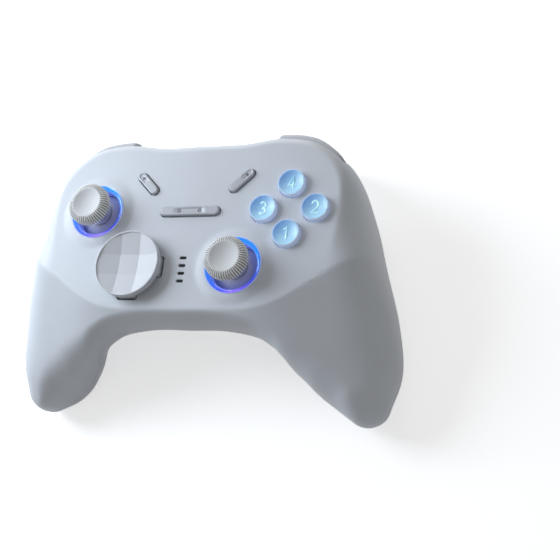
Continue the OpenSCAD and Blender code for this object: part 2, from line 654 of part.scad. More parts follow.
// Stick: cap on a shaft, shaft in a yoke, yoke in a carriage that clicks down inside a round housing.
skirt_drop = 0.5;
skirt_r = stick_pivot - skirt_drop;
skirt_t = 0.8;
skirt_half = 67;
neck_r = 2.5;
shaft_r = 1.8;
knurl_depth = 0.45;
knurl_sides = 4;
cap_fall = 1.8;
cap_rim = 0.15;
cap_bevel = 0.6;
cap_roof = 1.6;
neck_flare = [2.5, 1.2];
cap_low = cap_h - cap_t;
arc_steps = 10;
dish_steps = 6;
shaft_top = cap_h - dish_depth - cap_roof;
function arc(r, a0, a1) = [for (i = [0:arc_steps]) let (a = a0 + (a1 - a0) * i / arc_steps)
    [r * sin(a), pivot_z + r * cos(a)]];
dish_ball = (dish_r * dish_r + dish_depth * dish_depth) / (2 * dish_depth);
function dish_line() = [for (i = [0:dish_steps]) let (r = dish_r * i / dish_steps)
    [r, cap_h - dish_depth + dish_ball - sqrt(dish_ball * dish_ball - r * r)]];
function cap_edge() = let (x = dish_r + cap_rim, w = cap_r - knurl_depth - x) [for (g = [0:corner_step / 2:90])
    [x + w * sin(g), cap_h - cap_fall * (1 - cos(g))]];
module stick_cap(p) {
    color("whitesmoke") place() at(p, 0) union() {
        rotate_extrude() polygon(concat(
            [[shaft_r + run_gap, shaft_top], [0, shaft_top]], dish_line(), cap_edge(),
            [[cap_r - knurl_depth, cap_low + cap_bevel], [cap_r - knurl_depth - cap_bevel, cap_low],
             [neck_r + neck_flare[0], cap_low], [neck_r, cap_low - neck_flare[1]]],
            arc(skirt_r, asin(neck_r / skirt_r), skirt_half),
            arc(skirt_r - skirt_t, skirt_half, asin((shaft_r + run_gap) / (skirt_r - skirt_t)))));
        translate([0, 0, cap_low + cap_bevel]) linear_extrude(cap_t - cap_bevel - cap_fall) difference() {
            polygon([for (i = [0:knurl_count - 1]) for (k = [0:knurl_sides - 1])
                let (r = k < knurl_sides / 2 ? cap_r : cap_r - knurl_depth)
                polar(r, (i + k / knurl_sides) * 360 / knurl_count)]);
            circle(cap_r - knurl_depth - bite);
        }
    }
}
ball_r = 2.2;
pin_short = 0.2;
yoke_r = 4.35;
yoke_in = 2.9;
yoke_half = 1.5;
yoke_pin_r = 0.9;
cross_pin_r = 0.8;
carriage_r = 6.8;
carriage_in = 5.3;
carriage_half = 1.8;
housing_r = 8.3;
housing_rise = 1.6;
housing_top = pivot_z + housing_rise;
well_depth = 3.8;
well_gap = 0.2;
well_floor = pivot_z - well_depth;
bail_in = 8.75;
bail_t = 0.65;
bail_w = 6.2;
bail_ear = 2;
bail_pin_r = 0.8;
slot_gap = 0.4;
slot_reach = 0.66;
slot_low = 2;
module stick_shaft(p) {
    color("dimgray") place() at(p, pivot_z) union() {
        sphere(r = ball_r);
        cylinder(r = shaft_r, h = shaft_top - run_gap - pivot_z);
        bar_along_x(cross_pin_r, -yoke_r + pin_short, yoke_r - pin_short);
    }
}
module stick_yoke(p) {
    color("ivory") place() at(p, pivot_z) difference() {
        upright(yoke_r, -yoke_half, yoke_half);
        upright(yoke_in, -yoke_half - past, yoke_half + past);
        bar_along_x(cross_pin_r + run_gap, -yoke_r - past, yoke_r + past);
        bar_along_y(yoke_pin_r + run_gap, -yoke_r - past, yoke_r + past);
    }
}
module stick_carriage(p) {
    color("ivory") place() at(p, pivot_z) union() {
        difference() {
            upright(carriage_r, -carriage_half, carriage_half);
            upright(carriage_in, -carriage_half - past, carriage_half + past);
        }
        bar_along_y(yoke_pin_r, yoke_in + pin_short, carriage_in + bite);
        bar_along_y(yoke_pin_r, -carriage_in - bite, -yoke_in - pin_short);
    }
}
module stick_bail(p) {
    slot_w = 2 * (shaft_r + slot_gap);
    slot_l = 2 * slot_reach * bail_in;
    color("lightgray") place() at(p, pivot_z) difference() {
        intersection() {
            difference() {
                bar_along_y(bail_in + bail_t, -bail_w / 2, bail_w / 2);
                bar_along_y(bail_in, -bail_w / 2 - past, bail_w / 2 + past);
            }
            translate([-far, -far, -bail_ear]) cube([2 * far, 2 * far, far]);
        }
        translate([-slot_l / 2, -slot_w / 2, slot_low]) cube([slot_l, slot_w, far]);
        bar_along_x(bail_pin_r + run_gap, -far, far);
    }
}
module stick_housing(p) {
    color("silver") place() at(p, 0) difference() {
        union() {
            upright(housing_r, board_top, housing_top);
            translate([0, 0, pivot_z]) bar_along_x(bail_pin_r, -bail_in - bail_t, bail_in + bail_t);
        }
        upright(carriage_r + well_gap, well_floor, housing_top + past);
    }
}
module left_stick_cap() { stick_cap(left_stick); }
module left_stick_shaft() { stick_shaft(left_stick); }
module left_stick_yoke() { stick_yoke(left_stick); }
module left_stick_bail() { stick_bail(left_stick); }
module left_stick_carriage() { stick_carriage(left_stick); }
module left_stick_housing() { stick_housing(left_stick); }
module right_stick_cap() { stick_cap(right_stick); }
module right_stick_shaft() { stick_shaft(right_stick); }
module right_stick_yoke() { stick_yoke(right_stick); }
module right_stick_bail() { stick_bail(right_stick); }
module right_stick_carriage() { stick_carriage(right_stick); }
module right_stick_housing() { stick_housing(right_stick); }
click_r = 1.6;
module click_switches() {
    color("black") place() for (p = [left_stick, right_stick])
        at(p, 0) upright(click_r, well_floor, pivot_z - ball_r - click_travel - well_gap);
}

// Direction pad: disc on a cross, the cross on a two-axis gimbal on a post.
pad_pivot = -3;
pad_tilt = 4;
pad_low = pad_h - pad_t;
cross_top = pad_low;
cross_low = -1;
gimbal_pin_r = 0.9;
gimbal_hub = 2.6;
gimbal_reach = 3.6;
ear_from = 2.2;
ear_half = 1.7;
ear_top = 1.4;
ear_root = 3;
post_extra = 0.6;
foot_r = 2;
foot_at = 9;
foot_low = dome_top + foot_at * sin(pad_tilt) + clear;
facet_half = 3.9;
facet_rise = 0.19;
facet_depth = 2;
facet_floor = pad_h - facet_depth;
facet_roof = pad_h + far;
rim_w = 0.5;
function facet_z(x, y) = facet_floor + facet_rise * (max(abs(x) - facet_half, 0) + max(abs(y) - facet_half, 0));
facet_grid = [-pad_r, -facet_half, facet_half, pad_r];
module pad_facets() {
    n = len(facet_grid);
    edge = n - 1;
    up = n * n;
    tops = [for (x = facet_grid) for (y = facet_grid) [x, y, facet_z(x, y)]];
    roofs = [for (x = facet_grid) for (y = facet_grid) [x, y, facet_roof]];
    function cell(i, j) = i * n + j;
    cells = [for (i = [0:edge - 1]) for (j = [0:edge - 1])
        [cell(i, j), cell(i + 1, j), cell(i + 1, j + 1), cell(i, j + 1)]];
    walls = [for (k = [0:edge - 1]) for (w = [[cell(k, 0), cell(k + 1, 0)], [cell(k + 1, edge), cell(k, edge)],
        [cell(0, k + 1), cell(0, k)], [cell(edge, k), cell(edge, k + 1)]]) w];
    polyhedron(concat(tops, roofs), concat(
        [for (c = cells) for (t = [[c[0], c[1], c[2]], [c[0], c[2], c[3]]]) t],
        [for (c = cells) for (t = [[c[0] + up, c[2] + up, c[1] + up], [c[0] + up, c[3] + up, c[2] + up]]) t],
        [for (w = walls) for (t = [[w[1], w[0], w[0] + up], [w[1], w[0] + up, w[1] + up]]) t]));
}
module pad_disc() {
    color("gainsboro") place() at(pad_at, 0) difference() {
        upright(pad_r, pad_low, pad_h);
        intersection() {
            upright(pad_r - rim_w, pad_low, pad_h + past);
            pad_facets();
        }
    }
}
module pad_cross() {
    color("darkgray") place() at(pad_at, 0) difference() {
        union() {
            translate([0, 0, cross_low]) linear_extrude(cross_top - cross_low) cross_shape(arm_reach, arm_w);
            for (a = [0:90:270]) rotate([0, 0, a]) translate([foot_at, 0, 0])
                upright(foot_r, foot_low, cross_low + bite);
            for (y = [ear_from, -gimbal_reach]) translate([-ear_half, y, pad_pivot - ear_half])
                cube([2 * ear_half, gimbal_reach - ear_from, cross_low + bite - pad_pivot + ear_half]);
        }
        translate([0, 0, pad_pivot])
            bar_along_y(gimbal_pin_r + run_gap, -gimbal_reach - past, gimbal_reach + past);
    }
}
module pad_gimbal() {
    color("silver") place() at(pad_at, pad_pivot) union() {
        cube(gimbal_hub, center = true);
        bar_along_x(gimbal_pin_r, -gimbal_reach, gimbal_reach);
        bar_along_y(gimbal_pin_r, -gimbal_reach, gimbal_reach);
    }
}
module pad_post() {
    color("ivory") place() at(pad_at, 0) difference() {
        union() {
            upright(gimbal_reach + post_extra, board_top, pad_pivot - ear_root);
            for (x = [ear_from, -gimbal_reach]) translate([x, -ear_half, pad_pivot - ear_root - bite])
                cube([gimbal_reach - ear_from, 2 * ear_half, ear_root + bite + ear_top]);
        }
        translate([0, 0, pad_pivot])
            bar_along_x(gimbal_pin_r + run_gap, -gimbal_reach - past, gimbal_reach + past);
    }
}
rubber_t = 1;
rubber_rim = 1.2;
post_gap = 0.4;
module rubber_dome(r) { upright(r, board_top, dome_top); }
module pad_membrane() {
    color("slategray") place() at(pad_at, 0) union() {
        difference() {
            upright(foot_at + foot_r + rubber_rim, board_top, board_top + rubber_t);
            upright(gimbal_reach + post_extra + post_gap, board_top - past, board_top + rubber_t + past);
        }
        for (a = [0:90:270]) rotate([0, 0, a]) translate([foot_at, 0, 0]) rubber_dome(foot_r);
    }
}

// Face buttons, numbered from the lowest round to the uppermost.
stem_r = 4.2;
stem_low = dome_top + button_travel + clear;
button_flange = 0.9;
button_dish = 0.8;
button_ball = (button_r * button_r + button_dish * button_dish) / (2 * button_dish);
button_dome_r = stem_r - 0.6;
rubber_web = 4;
module face_button(i) {
    color("lightskyblue") place() at(button_at(i), 0) difference() {
        union() {
            upright(button_r, flange_low, button_h);
            upright(button_r + button_gap + button_flange, flange_low, flange_top);
            upright(stem_r, stem_low, flange_low + hair);
        }
        translate([0, 0, button_h - button_dish + button_ball]) sphere(r = button_ball);
    }
}
module face_button_1() { face_button(1); }
module face_button_2() { face_button(2); }
module face_button_3() { face_button(3); }
module face_button_4() { face_button(4); }
module button_membrane() {
    color("slategray") place() union() {
        for (i = [1:4]) at(button_at(i), 0) {
            upright(button_r, board_top, board_top + rubber_t);
            rubber_dome(button_dome_r);
        }
        for (a = [0, 90]) at(cluster, board_top) rotate([0, 0, a])
            translate([-cluster_r, -rubber_web / 2, 0]) cube([2 * cluster_r, rubber_web, rubber_t]);
    }
}
menu_stem_low = dome_top + menu_travel + clear;
menu_flange = 0.8;
menu_dome_r = 1.4;
module menu_button(s) {
    color("silver") place() translate([s * menu_x, menu_y, 0]) rotate([0, 0, s * menu_slant]) union() {
        translate([0, 0, flange_low]) stadium(menu_l, menu_w, menu_h - flange_low);
        translate([0, 0, flange_low]) stadium(menu_l + 2 * (button_gap + menu_flange),
            menu_w + 2 * (button_gap + menu_flange), flange_t);
        upright(menu_dome_r, menu_stem_low, flange_low + hair);
    }
}
module left_menu_button() { menu_button(-1); }
module right_menu_button() { menu_button(1); }
bar_pivot = -4.4;
bar_low = -2.9;
bar_tilt = 2.5;
bar_pin_r = 0.8;
bar_hub_r = 1.7;
bar_foot = 8;
bar_foot_r = 1.2;
bar_foot_low = dome_top + bar_foot * sin(bar_tilt) + clear;
lug_in = 2.5;
lug_t = 1.6;
lug_w = 2.6;
module menu_membrane() {
    color("slategray") place() for (s = [-1, 1]) {
        translate([s * menu_x, menu_y, 0]) rubber_dome(menu_dome_r);
        translate([s * bar_foot, bar_y, 0]) rubber_dome(menu_dome_r);
    }
}
module centre_bar() {
    color("silver") place() translate([0, bar_y, 0]) difference() {
        union() {
            translate([0, 0, bar_low]) stadium(bar_l, bar_w, bar_h - bar_low);
            translate([0, 0, bar_pivot]) bar_along_y(bar_hub_r, -bar_w / 2, bar_w / 2);
            for (s = [-1, 1]) translate([s * bar_foot, 0, 0]) upright(bar_foot_r, bar_foot_low, bar_low + hair);
        }
        translate([0, 0, bar_pivot]) bar_along_y(bar_pin_r + run_gap, -bar_w, bar_w);
    }
}
module bar_pin() {
    color("dimgray") place() translate([0, bar_y, bar_pivot])
        bar_along_y(bar_pin_r, -lug_in - lug_t, lug_in + lug_t);
}
pipe_w = 6;
pipe_t = 1.2;
module light_pipe() {
    color("black") place() union() {
        translate([-pipe_w / 2, lamps[3][1] - lamp_pitch / 2, under_face - fit_gap - pipe_t])
            cube([pipe_w, len(lamps) * lamp_pitch, pipe_t]);
        for (p = lamps) at(p, under_face - fit_gap - hair)
            translate([-lamp_l / 2 + fit_gap, -lamp_w / 2 + fit_gap, 0])
            cube([lamp_l - 2 * fit_gap, lamp_w - 2 * fit_gap, wall - fit_gap]);
    }
}

// Rumble motors lie along Y in rings of the chassis, one in each grip.
motor_share = 0.75;
motor_x = motor_share * body_w / 2;
motor_y0 = -27;
motor_drop = 2 * k_z;
drum_r = motor_r * k_z;
lobe_r = weight_r * k_z;
motor_z = chassis_low - motor_drop;
motor_shaft_r = 1;
motor_shaft_in = 5;
shaft_gap = 0.3;
weight_gap = 1;
weight_hub_r = 2.4;
weight_y0 = motor_y0 + motor_l + weight_gap;
weight_y1 = weight_y0 + weight_t;
clamp_t = 1.6 * k_z;
clamp_w = 8;
clamp_y0 = motor_y0 + 2;
module motor_axis() { translate([motor_x, 0, motor_z]) children(); }
module motor() {
    color("lightgray") difference() {
        motor_axis() bar_along_y(drum_r, motor_y0, motor_y0 + motor_l);
        motor_axis() bar_along_y(motor_shaft_r + run_gap, motor_y0 + motor_l - motor_shaft_in,
            motor_y0 + motor_l + past);
    }
}
module left_motor() { place() mirrored(-1) motor(); }
module right_motor() { place() motor(); }
module weight() {
    color("darkgray") motor_axis() union() {
        bar_along_y(motor_shaft_r, motor_y0 + motor_l - motor_shaft_in + shaft_gap, weight_y1 + bite);
        intersection() {
            bar_along_y(lobe_r, weight_y0, weight_y1);
            translate([-far, -far, -far]) cube([2 * far, 2 * far, far]);
        }
        bar_along_y(weight_hub_r, weight_y0, weight_y1);
    }
}
module left_weight() { place() mirrored(-1) weight(); }
module right_weight() { place() weight(); }

// Chassis plate with motor rings, standoffs and posts for the boards.
chassis_half = [[34, -12.4], [48, -7], [52, 0], [52, 32.4], [50, 36.4]];
chassis_ear = [chassis_half[0], [motor_x - drum_r, clamp_y0], [motor_x - drum_r, 0], [34, 0]];
function both_sides(half) = concat(half, [for (i = [len(half) - 1:-1:0]) [-half[i][0], half[i][1]]]);
standoffs = [[44, -8], [47, 30]];
standoff_r = 2;
low_posts = [[11, -3], [11, 26]];
low_post_r = 1.8;
low_gap = 3.4 * k_z;
usb_posts = [6, 31];
usb_z = -12.5 * k_z;
usb_l = 7.35;
usb_w = 8.94;
usb_t = 3.26;
usb_mouth_w = 8.34;
usb_mouth_t = 2.56;
usb_inset = 0.6;
usb_front = plan[0][3] * k_y - usb_inset;
usb_tongue = [6.6, 0.7];
usb_tongue_in = 1.2;
usb_back_t = 0.6;
usb_board_top = usb_z - usb_t / 2;
usb_board_t = 1.2;
usb_board_w = 17;
usb_board_past_post = 2.5;
usb_board_set_back = 2;
usb_board_y0 = usb_posts[1] - usb_board_past_post;
usb_board_y1 = usb_front - usb_board_set_back;
module usb_hole() {
    translate([0, usb_front - usb_l, usb_z]) rotate([-90, 0, 0])
        stadium(usb_w + 2 * clear, usb_t + 2 * clear, usb_l * 2);
}
module chassis() {
    color("dimgray") place() difference() {
        union() {
            translate([0, 0, chassis_low]) linear_extrude(chassis_t) polygon(both_sides(chassis_half));
            for (s = [-1, 1]) mirrored(s) {
                translate([0, 0, chassis_low]) linear_extrude(chassis_t) polygon(chassis_ear);
                motor_axis() bar_along_y(drum_r + clamp_t, clamp_y0, clamp_y0 + clamp_w);
                for (p = standoffs) at(p, 0) upright(standoff_r, chassis_top - hair, board_low);
                for (p = low_posts) at(p, 0) upright(low_post_r, chassis_low - low_gap, chassis_low + hair);
                at(mid_post, 0) upright(face_post_r, chassis_top - hair, board_low);
                at(usb_posts, 0) upright(low_post_r, chassis_top - hair, usb_board_top - usb_board_t);
            }
        }
        for (s = [-1, 1]) mirrored(s) {
            motor_axis() bar_along_y(drum_r + fit_gap, motor_y0 - past, weight_y1 + past);
            at(mid_post, 0) upright(pilot_r, chassis_low - past, board_low + past);
        }
    }
}
board_half = [[30, -15], [49, -7], [49, 32.8], [12, 32.8], [12, 28]];
power_size = [28, 35];
power_y0 = -6;
module main_board() {
    color("darkgreen") place() difference() {
        translate([0, 0, board_low]) linear_extrude(board_t) polygon(both_sides(board_half));
        at_each(mid_post) upright(pilot_r, board_low - past, board_top + past);
    }
}
module power_board() {
    color("darkgreen") place() translate([-power_size[0] / 2, power_y0, chassis_low - low_gap - board_t])
        cube([power_size[0], power_size[1], board_t]);
}
module usb_board() {
    color("darkgreen") place() translate([-usb_board_w / 2, usb_board_y0, usb_board_top - usb_board_t])
        cube([usb_board_w, usb_board_y1 - usb_board_y0, usb_board_t]);
}
module usb_socket() {
    color("silver") place() translate([0, usb_front, usb_z]) rotate([90, 0, 0]) union() {
        difference() {
            stadium(usb_w, usb_t, usb_l);
            translate([0, 0, -usb_back_t]) stadium(usb_mouth_w, usb_mouth_t, usb_l);
        }
        translate([-usb_tongue[0] / 2, -usb_tongue[1] / 2, usb_tongue_in])
            cube([usb_tongue[0], usb_tongue[1], usb_l - usb_tongue_in - usb_back_t / 2]);
    }
}
module battery() {
    color("steelblue") place() translate([-battery_w / 2, hump_at[1] - battery_l / 2, floor_in + clear])
        cube([battery_w, battery_l, battery_t * k_z]);
}
head_t = 2;
drive = [2.8, 0.7];
module screw(top) {
    difference() {
        union() {
            upright(screw_head_r, seat_z - head_t, seat_z);
            upright(screw_r, seat_z - hair, top);
        }
        for (a = [0, 90]) rotate([0, 0, a]) translate([-drive[0] / 2, -drive[1] / 2, seat_z - head_t - past])
            cube([drive[0], drive[1], 2 * past]);
    }
}
module screws() {
    color("gray") place() {
        at_each(mid_post) screw(board_top + screw_grip);
        at_each(grip_post) screw(chassis_low + screw_grip - past);
    }
}

front_shell();
back_shell();
left_bumper();
right_bumper();
bumper_pins();
bumper_switches();
left_trigger();
right_trigger();
left_trigger_frame();
right_trigger_frame();
trigger_pins();
trigger_springs();
trigger_sensors();
left_light_ring();
right_light_ring();
left_ring_board();
right_ring_board();
left_stick_cap();
left_stick_shaft();
left_stick_yoke();
left_stick_bail();
left_stick_carriage();
left_stick_housing();
right_stick_cap();
right_stick_shaft();
right_stick_yoke();
right_stick_bail();
right_stick_carriage();
right_stick_housing();
click_switches();
pad_disc();
pad_cross();
pad_gimbal();
pad_post();
pad_membrane();
face_button_1();
face_button_2();
face_button_3();
face_button_4();
button_membrane();
left_menu_button();
right_menu_button();
menu_membrane();
centre_bar();
bar_pin();
light_pipe();
chassis();
main_board();
power_board();
usb_board();
usb_socket();
battery();
left_motor();
right_motor();
left_weight();
right_weight();
screws();
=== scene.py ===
"""Looks of a two-handed game controller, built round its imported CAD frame."""

import json
import math

import bmesh
import bpy
import numpy as np
from mathutils import Matrix, Vector
from mathutils.bvhtree import BVHTree


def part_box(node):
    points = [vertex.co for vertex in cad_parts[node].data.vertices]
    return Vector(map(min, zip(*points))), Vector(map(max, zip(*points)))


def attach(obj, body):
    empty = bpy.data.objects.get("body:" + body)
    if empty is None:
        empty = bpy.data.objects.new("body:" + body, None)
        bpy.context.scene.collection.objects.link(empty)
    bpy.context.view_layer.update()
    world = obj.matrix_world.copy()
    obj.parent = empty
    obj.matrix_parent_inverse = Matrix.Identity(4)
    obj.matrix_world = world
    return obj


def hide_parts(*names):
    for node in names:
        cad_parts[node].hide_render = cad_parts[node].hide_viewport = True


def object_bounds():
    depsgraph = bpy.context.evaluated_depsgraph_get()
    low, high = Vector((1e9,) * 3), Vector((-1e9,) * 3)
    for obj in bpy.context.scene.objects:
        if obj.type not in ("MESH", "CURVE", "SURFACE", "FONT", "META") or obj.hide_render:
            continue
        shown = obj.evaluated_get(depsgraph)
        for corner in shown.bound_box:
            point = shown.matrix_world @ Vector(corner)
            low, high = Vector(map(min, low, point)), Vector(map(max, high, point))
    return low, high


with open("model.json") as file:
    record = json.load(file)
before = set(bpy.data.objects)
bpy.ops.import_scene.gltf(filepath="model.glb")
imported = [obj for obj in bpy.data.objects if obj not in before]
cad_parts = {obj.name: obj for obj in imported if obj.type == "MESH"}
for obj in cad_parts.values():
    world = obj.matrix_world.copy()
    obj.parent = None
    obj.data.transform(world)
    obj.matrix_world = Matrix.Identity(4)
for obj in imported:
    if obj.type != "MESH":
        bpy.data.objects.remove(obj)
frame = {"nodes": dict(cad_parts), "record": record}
cad_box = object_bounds()

# Units: shapes are written in millimetres from the middle of the face, with Z up out of the face.
MM = 0.001
GRIP_REACH = 53.5
TRIGGER_REACH = 58.0
SHIFT_Y = (GRIP_REACH - TRIGGER_REACH) / 2
COLLAR_H = 0.7
FACE_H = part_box("front_shell")[1][2] / MM - COLLAR_H
ORIGIN = np.array([0, SHIFT_Y, FACE_H])
SIDES = (("left", -1), ("right", 1))


def to_row(points):
    """Millimetres from the middle of the face to the row frame in metres."""
    return (np.asarray(points, float) + ORIGIN) * MM


def corners(node):
    """Lowest and highest corner of a CAD node, in millimetres from the middle of the face."""
    return [np.array(corner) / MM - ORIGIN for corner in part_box(node)]


def middle(node):
    """Centre of a CAD node, in millimetres from the middle of the face."""
    return sum(corners(node)) / 2


def smooth_step(t):
    """Soft change from 0 to 1 as t goes from 0 to 1."""
    c = np.clip(t, 0, 1)
    return c * c * (3 - 2 * c)


# Solids are pairs of points and faces.
# Steps round a circle and over a rounded edge, how near points are welded, and how the tops of keys dip.
CIRCLE = 128
ROUND = 6
FINE_ROUND = 4
WELD = 0.002
TOP_REACH = 0.97
DIP_EASE = 3


def grid_faces(rows, columns, closed=False, start=0):
    """Quads of a grid of points kept row by row; closed joins the last column to the first."""
    faces = []
    for k in range(rows - 1):
        for j in range(columns if closed else columns - 1):
            a = start + k * columns + j
            b = start + k * columns + (j + 1) % columns
            faces.append((a, b, b + columns, a + columns))
    return faces


def loft(rings):
    """Closed solid through equal rings of points, with a flat face at each end."""
    rings = np.asarray(rings, float)
    count, size, _ = rings.shape
    faces = grid_faces(count, size, closed=True)
    faces.append(tuple(reversed(range(size))))
    faces.append(tuple(range((count - 1) * size, count * size)))
    return rings.reshape(-1, 3), faces


def lifted(outline, z):
    """Outline in X and Y at one height, or at a height for each point."""
    return np.column_stack([outline, np.broadcast_to(z, len(outline))])


def between_grids(first, second):
    """Closed solid between two equal grids of points."""
    n, m, _ = first.shape
    count = n * m
    faces = grid_faces(n, m) + [face[::-1] for face in grid_faces(n, m, start=count)]
    rim = list(range(m - 1)) + [k * m + m - 1 for k in range(n - 1)]
    rim += [(n - 1) * m + j for j in range(m - 1, 0, -1)] + [k * m for k in range(n - 1, 0, -1)]
    faces += [(a, b, b + count, a + count) for a, b in zip(rim, rim[1:] + rim[:1])]
    return np.concatenate([first.reshape(-1, 3), second.reshape(-1, 3)]), faces


def revolve(profile, closed=False, count=CIRCLE, dents=None, wave=np.zeros_like):
    """Solid of revolution about Z through points of radius and height.

    A point on the axis becomes one vertex. dents says, for each point, how far the wave cuts in and down.
    """
    angles = np.arange(count) * 2 * math.pi / count
    points = []
    rings = []
    for index, (radius, height) in enumerate(profile):
        start = len(points)
        if radius == 0:
            points.append((0, 0, height))
            rings.append([start] * count)
            continue
        inward, down = dents[index] if dents else (0, 0)
        radii = radius - inward * wave(angles)
        points.extend(zip(radii * np.cos(angles), radii * np.sin(angles), height - down * wave(angles)))
        rings.append(list(range(start, start + count)))
    pairs = list(zip(rings, rings[1:]))
    if closed:
        pairs.append((rings[-1], rings[0]))
    faces = []
    for low, high in pairs:
        for j in range(count):
            k = (j + 1) % count
            face = tuple(dict.fromkeys((low[j], low[k], high[k], high[j])))
            if len(face) > 2:
                faces.append(face)
    return np.array(points), faces


def moved(solid, offset, turn=0):
    """The solid turned about Z by degrees, then moved."""
    points, faces = solid
    angle = math.radians(turn)
    c, s = math.cos(angle), math.sin(angle)
    spin = np.array([[c, s, 0], [-s, c, 0], [0, 0, 1]])
    return np.asarray(points, float) @ spin + np.asarray(offset, float), faces


def joined(solids):
    """Several solids as one."""
    points = []
    faces = []
    start = 0
    for some_points, some_faces in solids:
        points.append(np.asarray(some_points, float))
        faces.extend(tuple(i + start for i in face) for face in some_faces)
        start += len(some_points)
    return np.concatenate(points), faces


def prism(outline, low, high):
    """Upright solid over a closed outline in X and Y."""
    return loft([lifted(outline, z) for z in (low, high)])


def along_x(radius, x0, x1, y, z, count=CIRCLE):
    """Round bar along X."""
    ring = circle_outline(radius, count)(0) + (y, z)
    return loft([np.column_stack([np.full(count, x), ring]) for x in (x0, x1)])


def quarter(radius, steps=ROUND):
    """Rounded edge: pairs of how far in and how far below the top, from the side to the top."""
    turns = np.linspace(0, math.pi / 2, steps + 1)
    return [(radius * (1 - math.cos(t)), radius * (1 - math.sin(t))) for t in turns]


def rounded(r, z, radius, steps=ROUND, side=-1, level=-1):
    """Rounded corner of a profile, from its side to its top; side and level turn it over."""
    return [(r + side * inward, z + level * below) for inward, below in quarter(radius, steps)]


# Outlines are functions of how far they grow.
def circle_outline(radius, count=CIRCLE):
    """Circle about the origin."""
    angles = np.arange(count) * 2 * math.pi / count

    def outline(grow):
        return np.column_stack([np.cos(angles), np.sin(angles)]) * (radius + grow)
    return outline


def stadium_outline(length, width, count=24, steps=30):
    """Bar with two round ends, along X."""
    turns = np.linspace(-math.pi / 2, math.pi / 2, count)
    reach = (length - width) / 2
    between = np.linspace(reach, -reach, steps + 1)[1:-1]

    def outline(grow):
        radius = width / 2 + grow
        right = np.column_stack([reach + radius * np.cos(turns), radius * np.sin(turns)])
        side = np.column_stack([between, np.full(len(between), radius)])
        return np.concatenate([right, side, -right, -side])
    return outline


def plus_outline(reach, half, corner, count=7):
    """Cross with four equal arms whose outer corners are rounded."""
    turns = np.linspace(0, math.pi / 2, count)

    def outline(grow):
        r = reach - corner
        h = half - corner
        c = corner + grow
        arm = [(r + c * math.cos(t), c * math.sin(t) - h) for t in turns - math.pi / 2]
        arm += [(r + c * math.cos(t), c * math.sin(t) + h) for t in turns]
        arm.append((half + grow, half + grow))
        x, y = np.transpose(arm)
        return np.concatenate([np.column_stack(pair) for pair in ((x, y), (-y, x), (-x, -y), (y, -x))])
    return outline


def rounded_prism(outline, low, high, edge, lower=None, rings=5):
    """Upright solid with a rounded upper edge. lower gives how far the top dips at each of its points."""
    levels = [(0, low), *rounded(0, high, edge)]
    solid_rings = [lifted(outline(grow), z) for grow, z in levels]
    if lower is not None:
        widest = np.abs(outline(0)[:, 1]).max()
        for share in np.linspace(0, 1, rings + 1)[1:]:
            points = outline(-edge - (widest - edge) * TOP_REACH * share)
            dip = lower(points) * smooth_step(share * DIP_EASE)
            solid_rings.append(lifted(points, high - dip))
    return loft(solid_rings)


# Objects
def add_object(name, data):
    """Object with that data, in the scene."""
    obj = bpy.data.objects.new(name, data)
    bpy.context.scene.collection.objects.link(obj)
    return obj


def new_object(name, solid):
    """Mesh object from a solid, with its faces turned outwards."""
    points, faces = solid
    mesh = bpy.data.meshes.new(name)
    mesh.from_pydata(to_row(points).tolist(), [], faces)
    clean = bmesh.new()
    clean.from_mesh(mesh)
    bmesh.ops.recalc_face_normals(clean, faces=clean.faces)
    clean.to_mesh(mesh)
    clean.free()
    return add_object(name, mesh)


def combine(obj, solids, operation):
    """Cuts separate solids out of an object, or joins them to it."""
    tool = new_object("tool", joined(solids))
    change = obj.modifiers.new("change", "BOOLEAN")
    change.operation = operation
    change.solver = "MANIFOLD"
    change.object = tool
    result = bpy.data.meshes.new_from_object(obj.evaluated_get(bpy.context.evaluated_depsgraph_get()))
    obj.modifiers.clear()
    obj.data = result
    bpy.data.objects.remove(tool)


def cut(obj, *solids):
    """Cuts separate solids out of an object."""
    combine(obj, solids, "DIFFERENCE")


def weld(mesh):
    """Joins points that lie in one place, and drops triangles that lie back to back."""
    clean = bmesh.new()
    clean.from_mesh(mesh)
    bmesh.ops.remove_doubles(clean, verts=clean.verts, dist=WELD * MM)
    bmesh.ops.triangulate(clean, faces=clean.faces)
    groups = {}
    for face in clean.faces:
        groups.setdefault(frozenset(face.verts), []).append(face)
    folded = [face for group in groups.values() if len(group) > 1 for face in group]
    bmesh.ops.delete(clean, geom=folded, context="FACES")
    clean.to_mesh(mesh)
    clean.free()


def dress(mesh, material, sharp):
    """Gives a mesh its one material, and smooth shading up to an angle in degrees."""
    mesh.materials.clear()
    mesh.materials.append(material)
    mesh.shade_smooth()
    mesh.set_sharp_from_angle(angle=math.radians(sharp))


def finish_piece(obj, material, slot, body, nodes=(), sharp=35):
    """Keeps a piece in the CAD box, gives it its look, and ties it to the frame."""
    for vertex in obj.data.vertices:
        vertex.co = Vector(np.clip(vertex.co, *cad_box))
    weld(obj.data)
    dress(obj.data, material, sharp)
    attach(obj, body)
    if nodes:
        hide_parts(*nodes)


def add_piece(name, solid, place, *finish, turn=0, **options):
    """Finished piece from a solid that stands at a place of the face."""
    finish_piece(new_object(name, moved(solid, (place[0], place[1], 0), turn)), *finish, **options)


# Materials
WHITE = (1, 1, 1, 1)
MIX_FIRST = 6
MIX_SECOND = 7
MIX_RESULT = 2
NOISE_SPAN = (0.3, 0.7)
DRIFT_SIZE = 30
GRAIN_DEPTH = 0.03


def principled(name, colour, roughness, **sockets):
    """New material with values on its shader's sockets, its node tree and the shader."""
    material = bpy.data.materials.new(name)
    material.use_nodes = True
    tree = material.node_tree
    shader = tree.nodes["Principled BSDF"]
    shader.inputs["Base Color"].default_value = (*colour, 1)
    shader.inputs["Roughness"].default_value = roughness
    for key, value in sockets.items():
        shader.inputs[key.replace("_", " ")].default_value = value
    return material, tree, shader


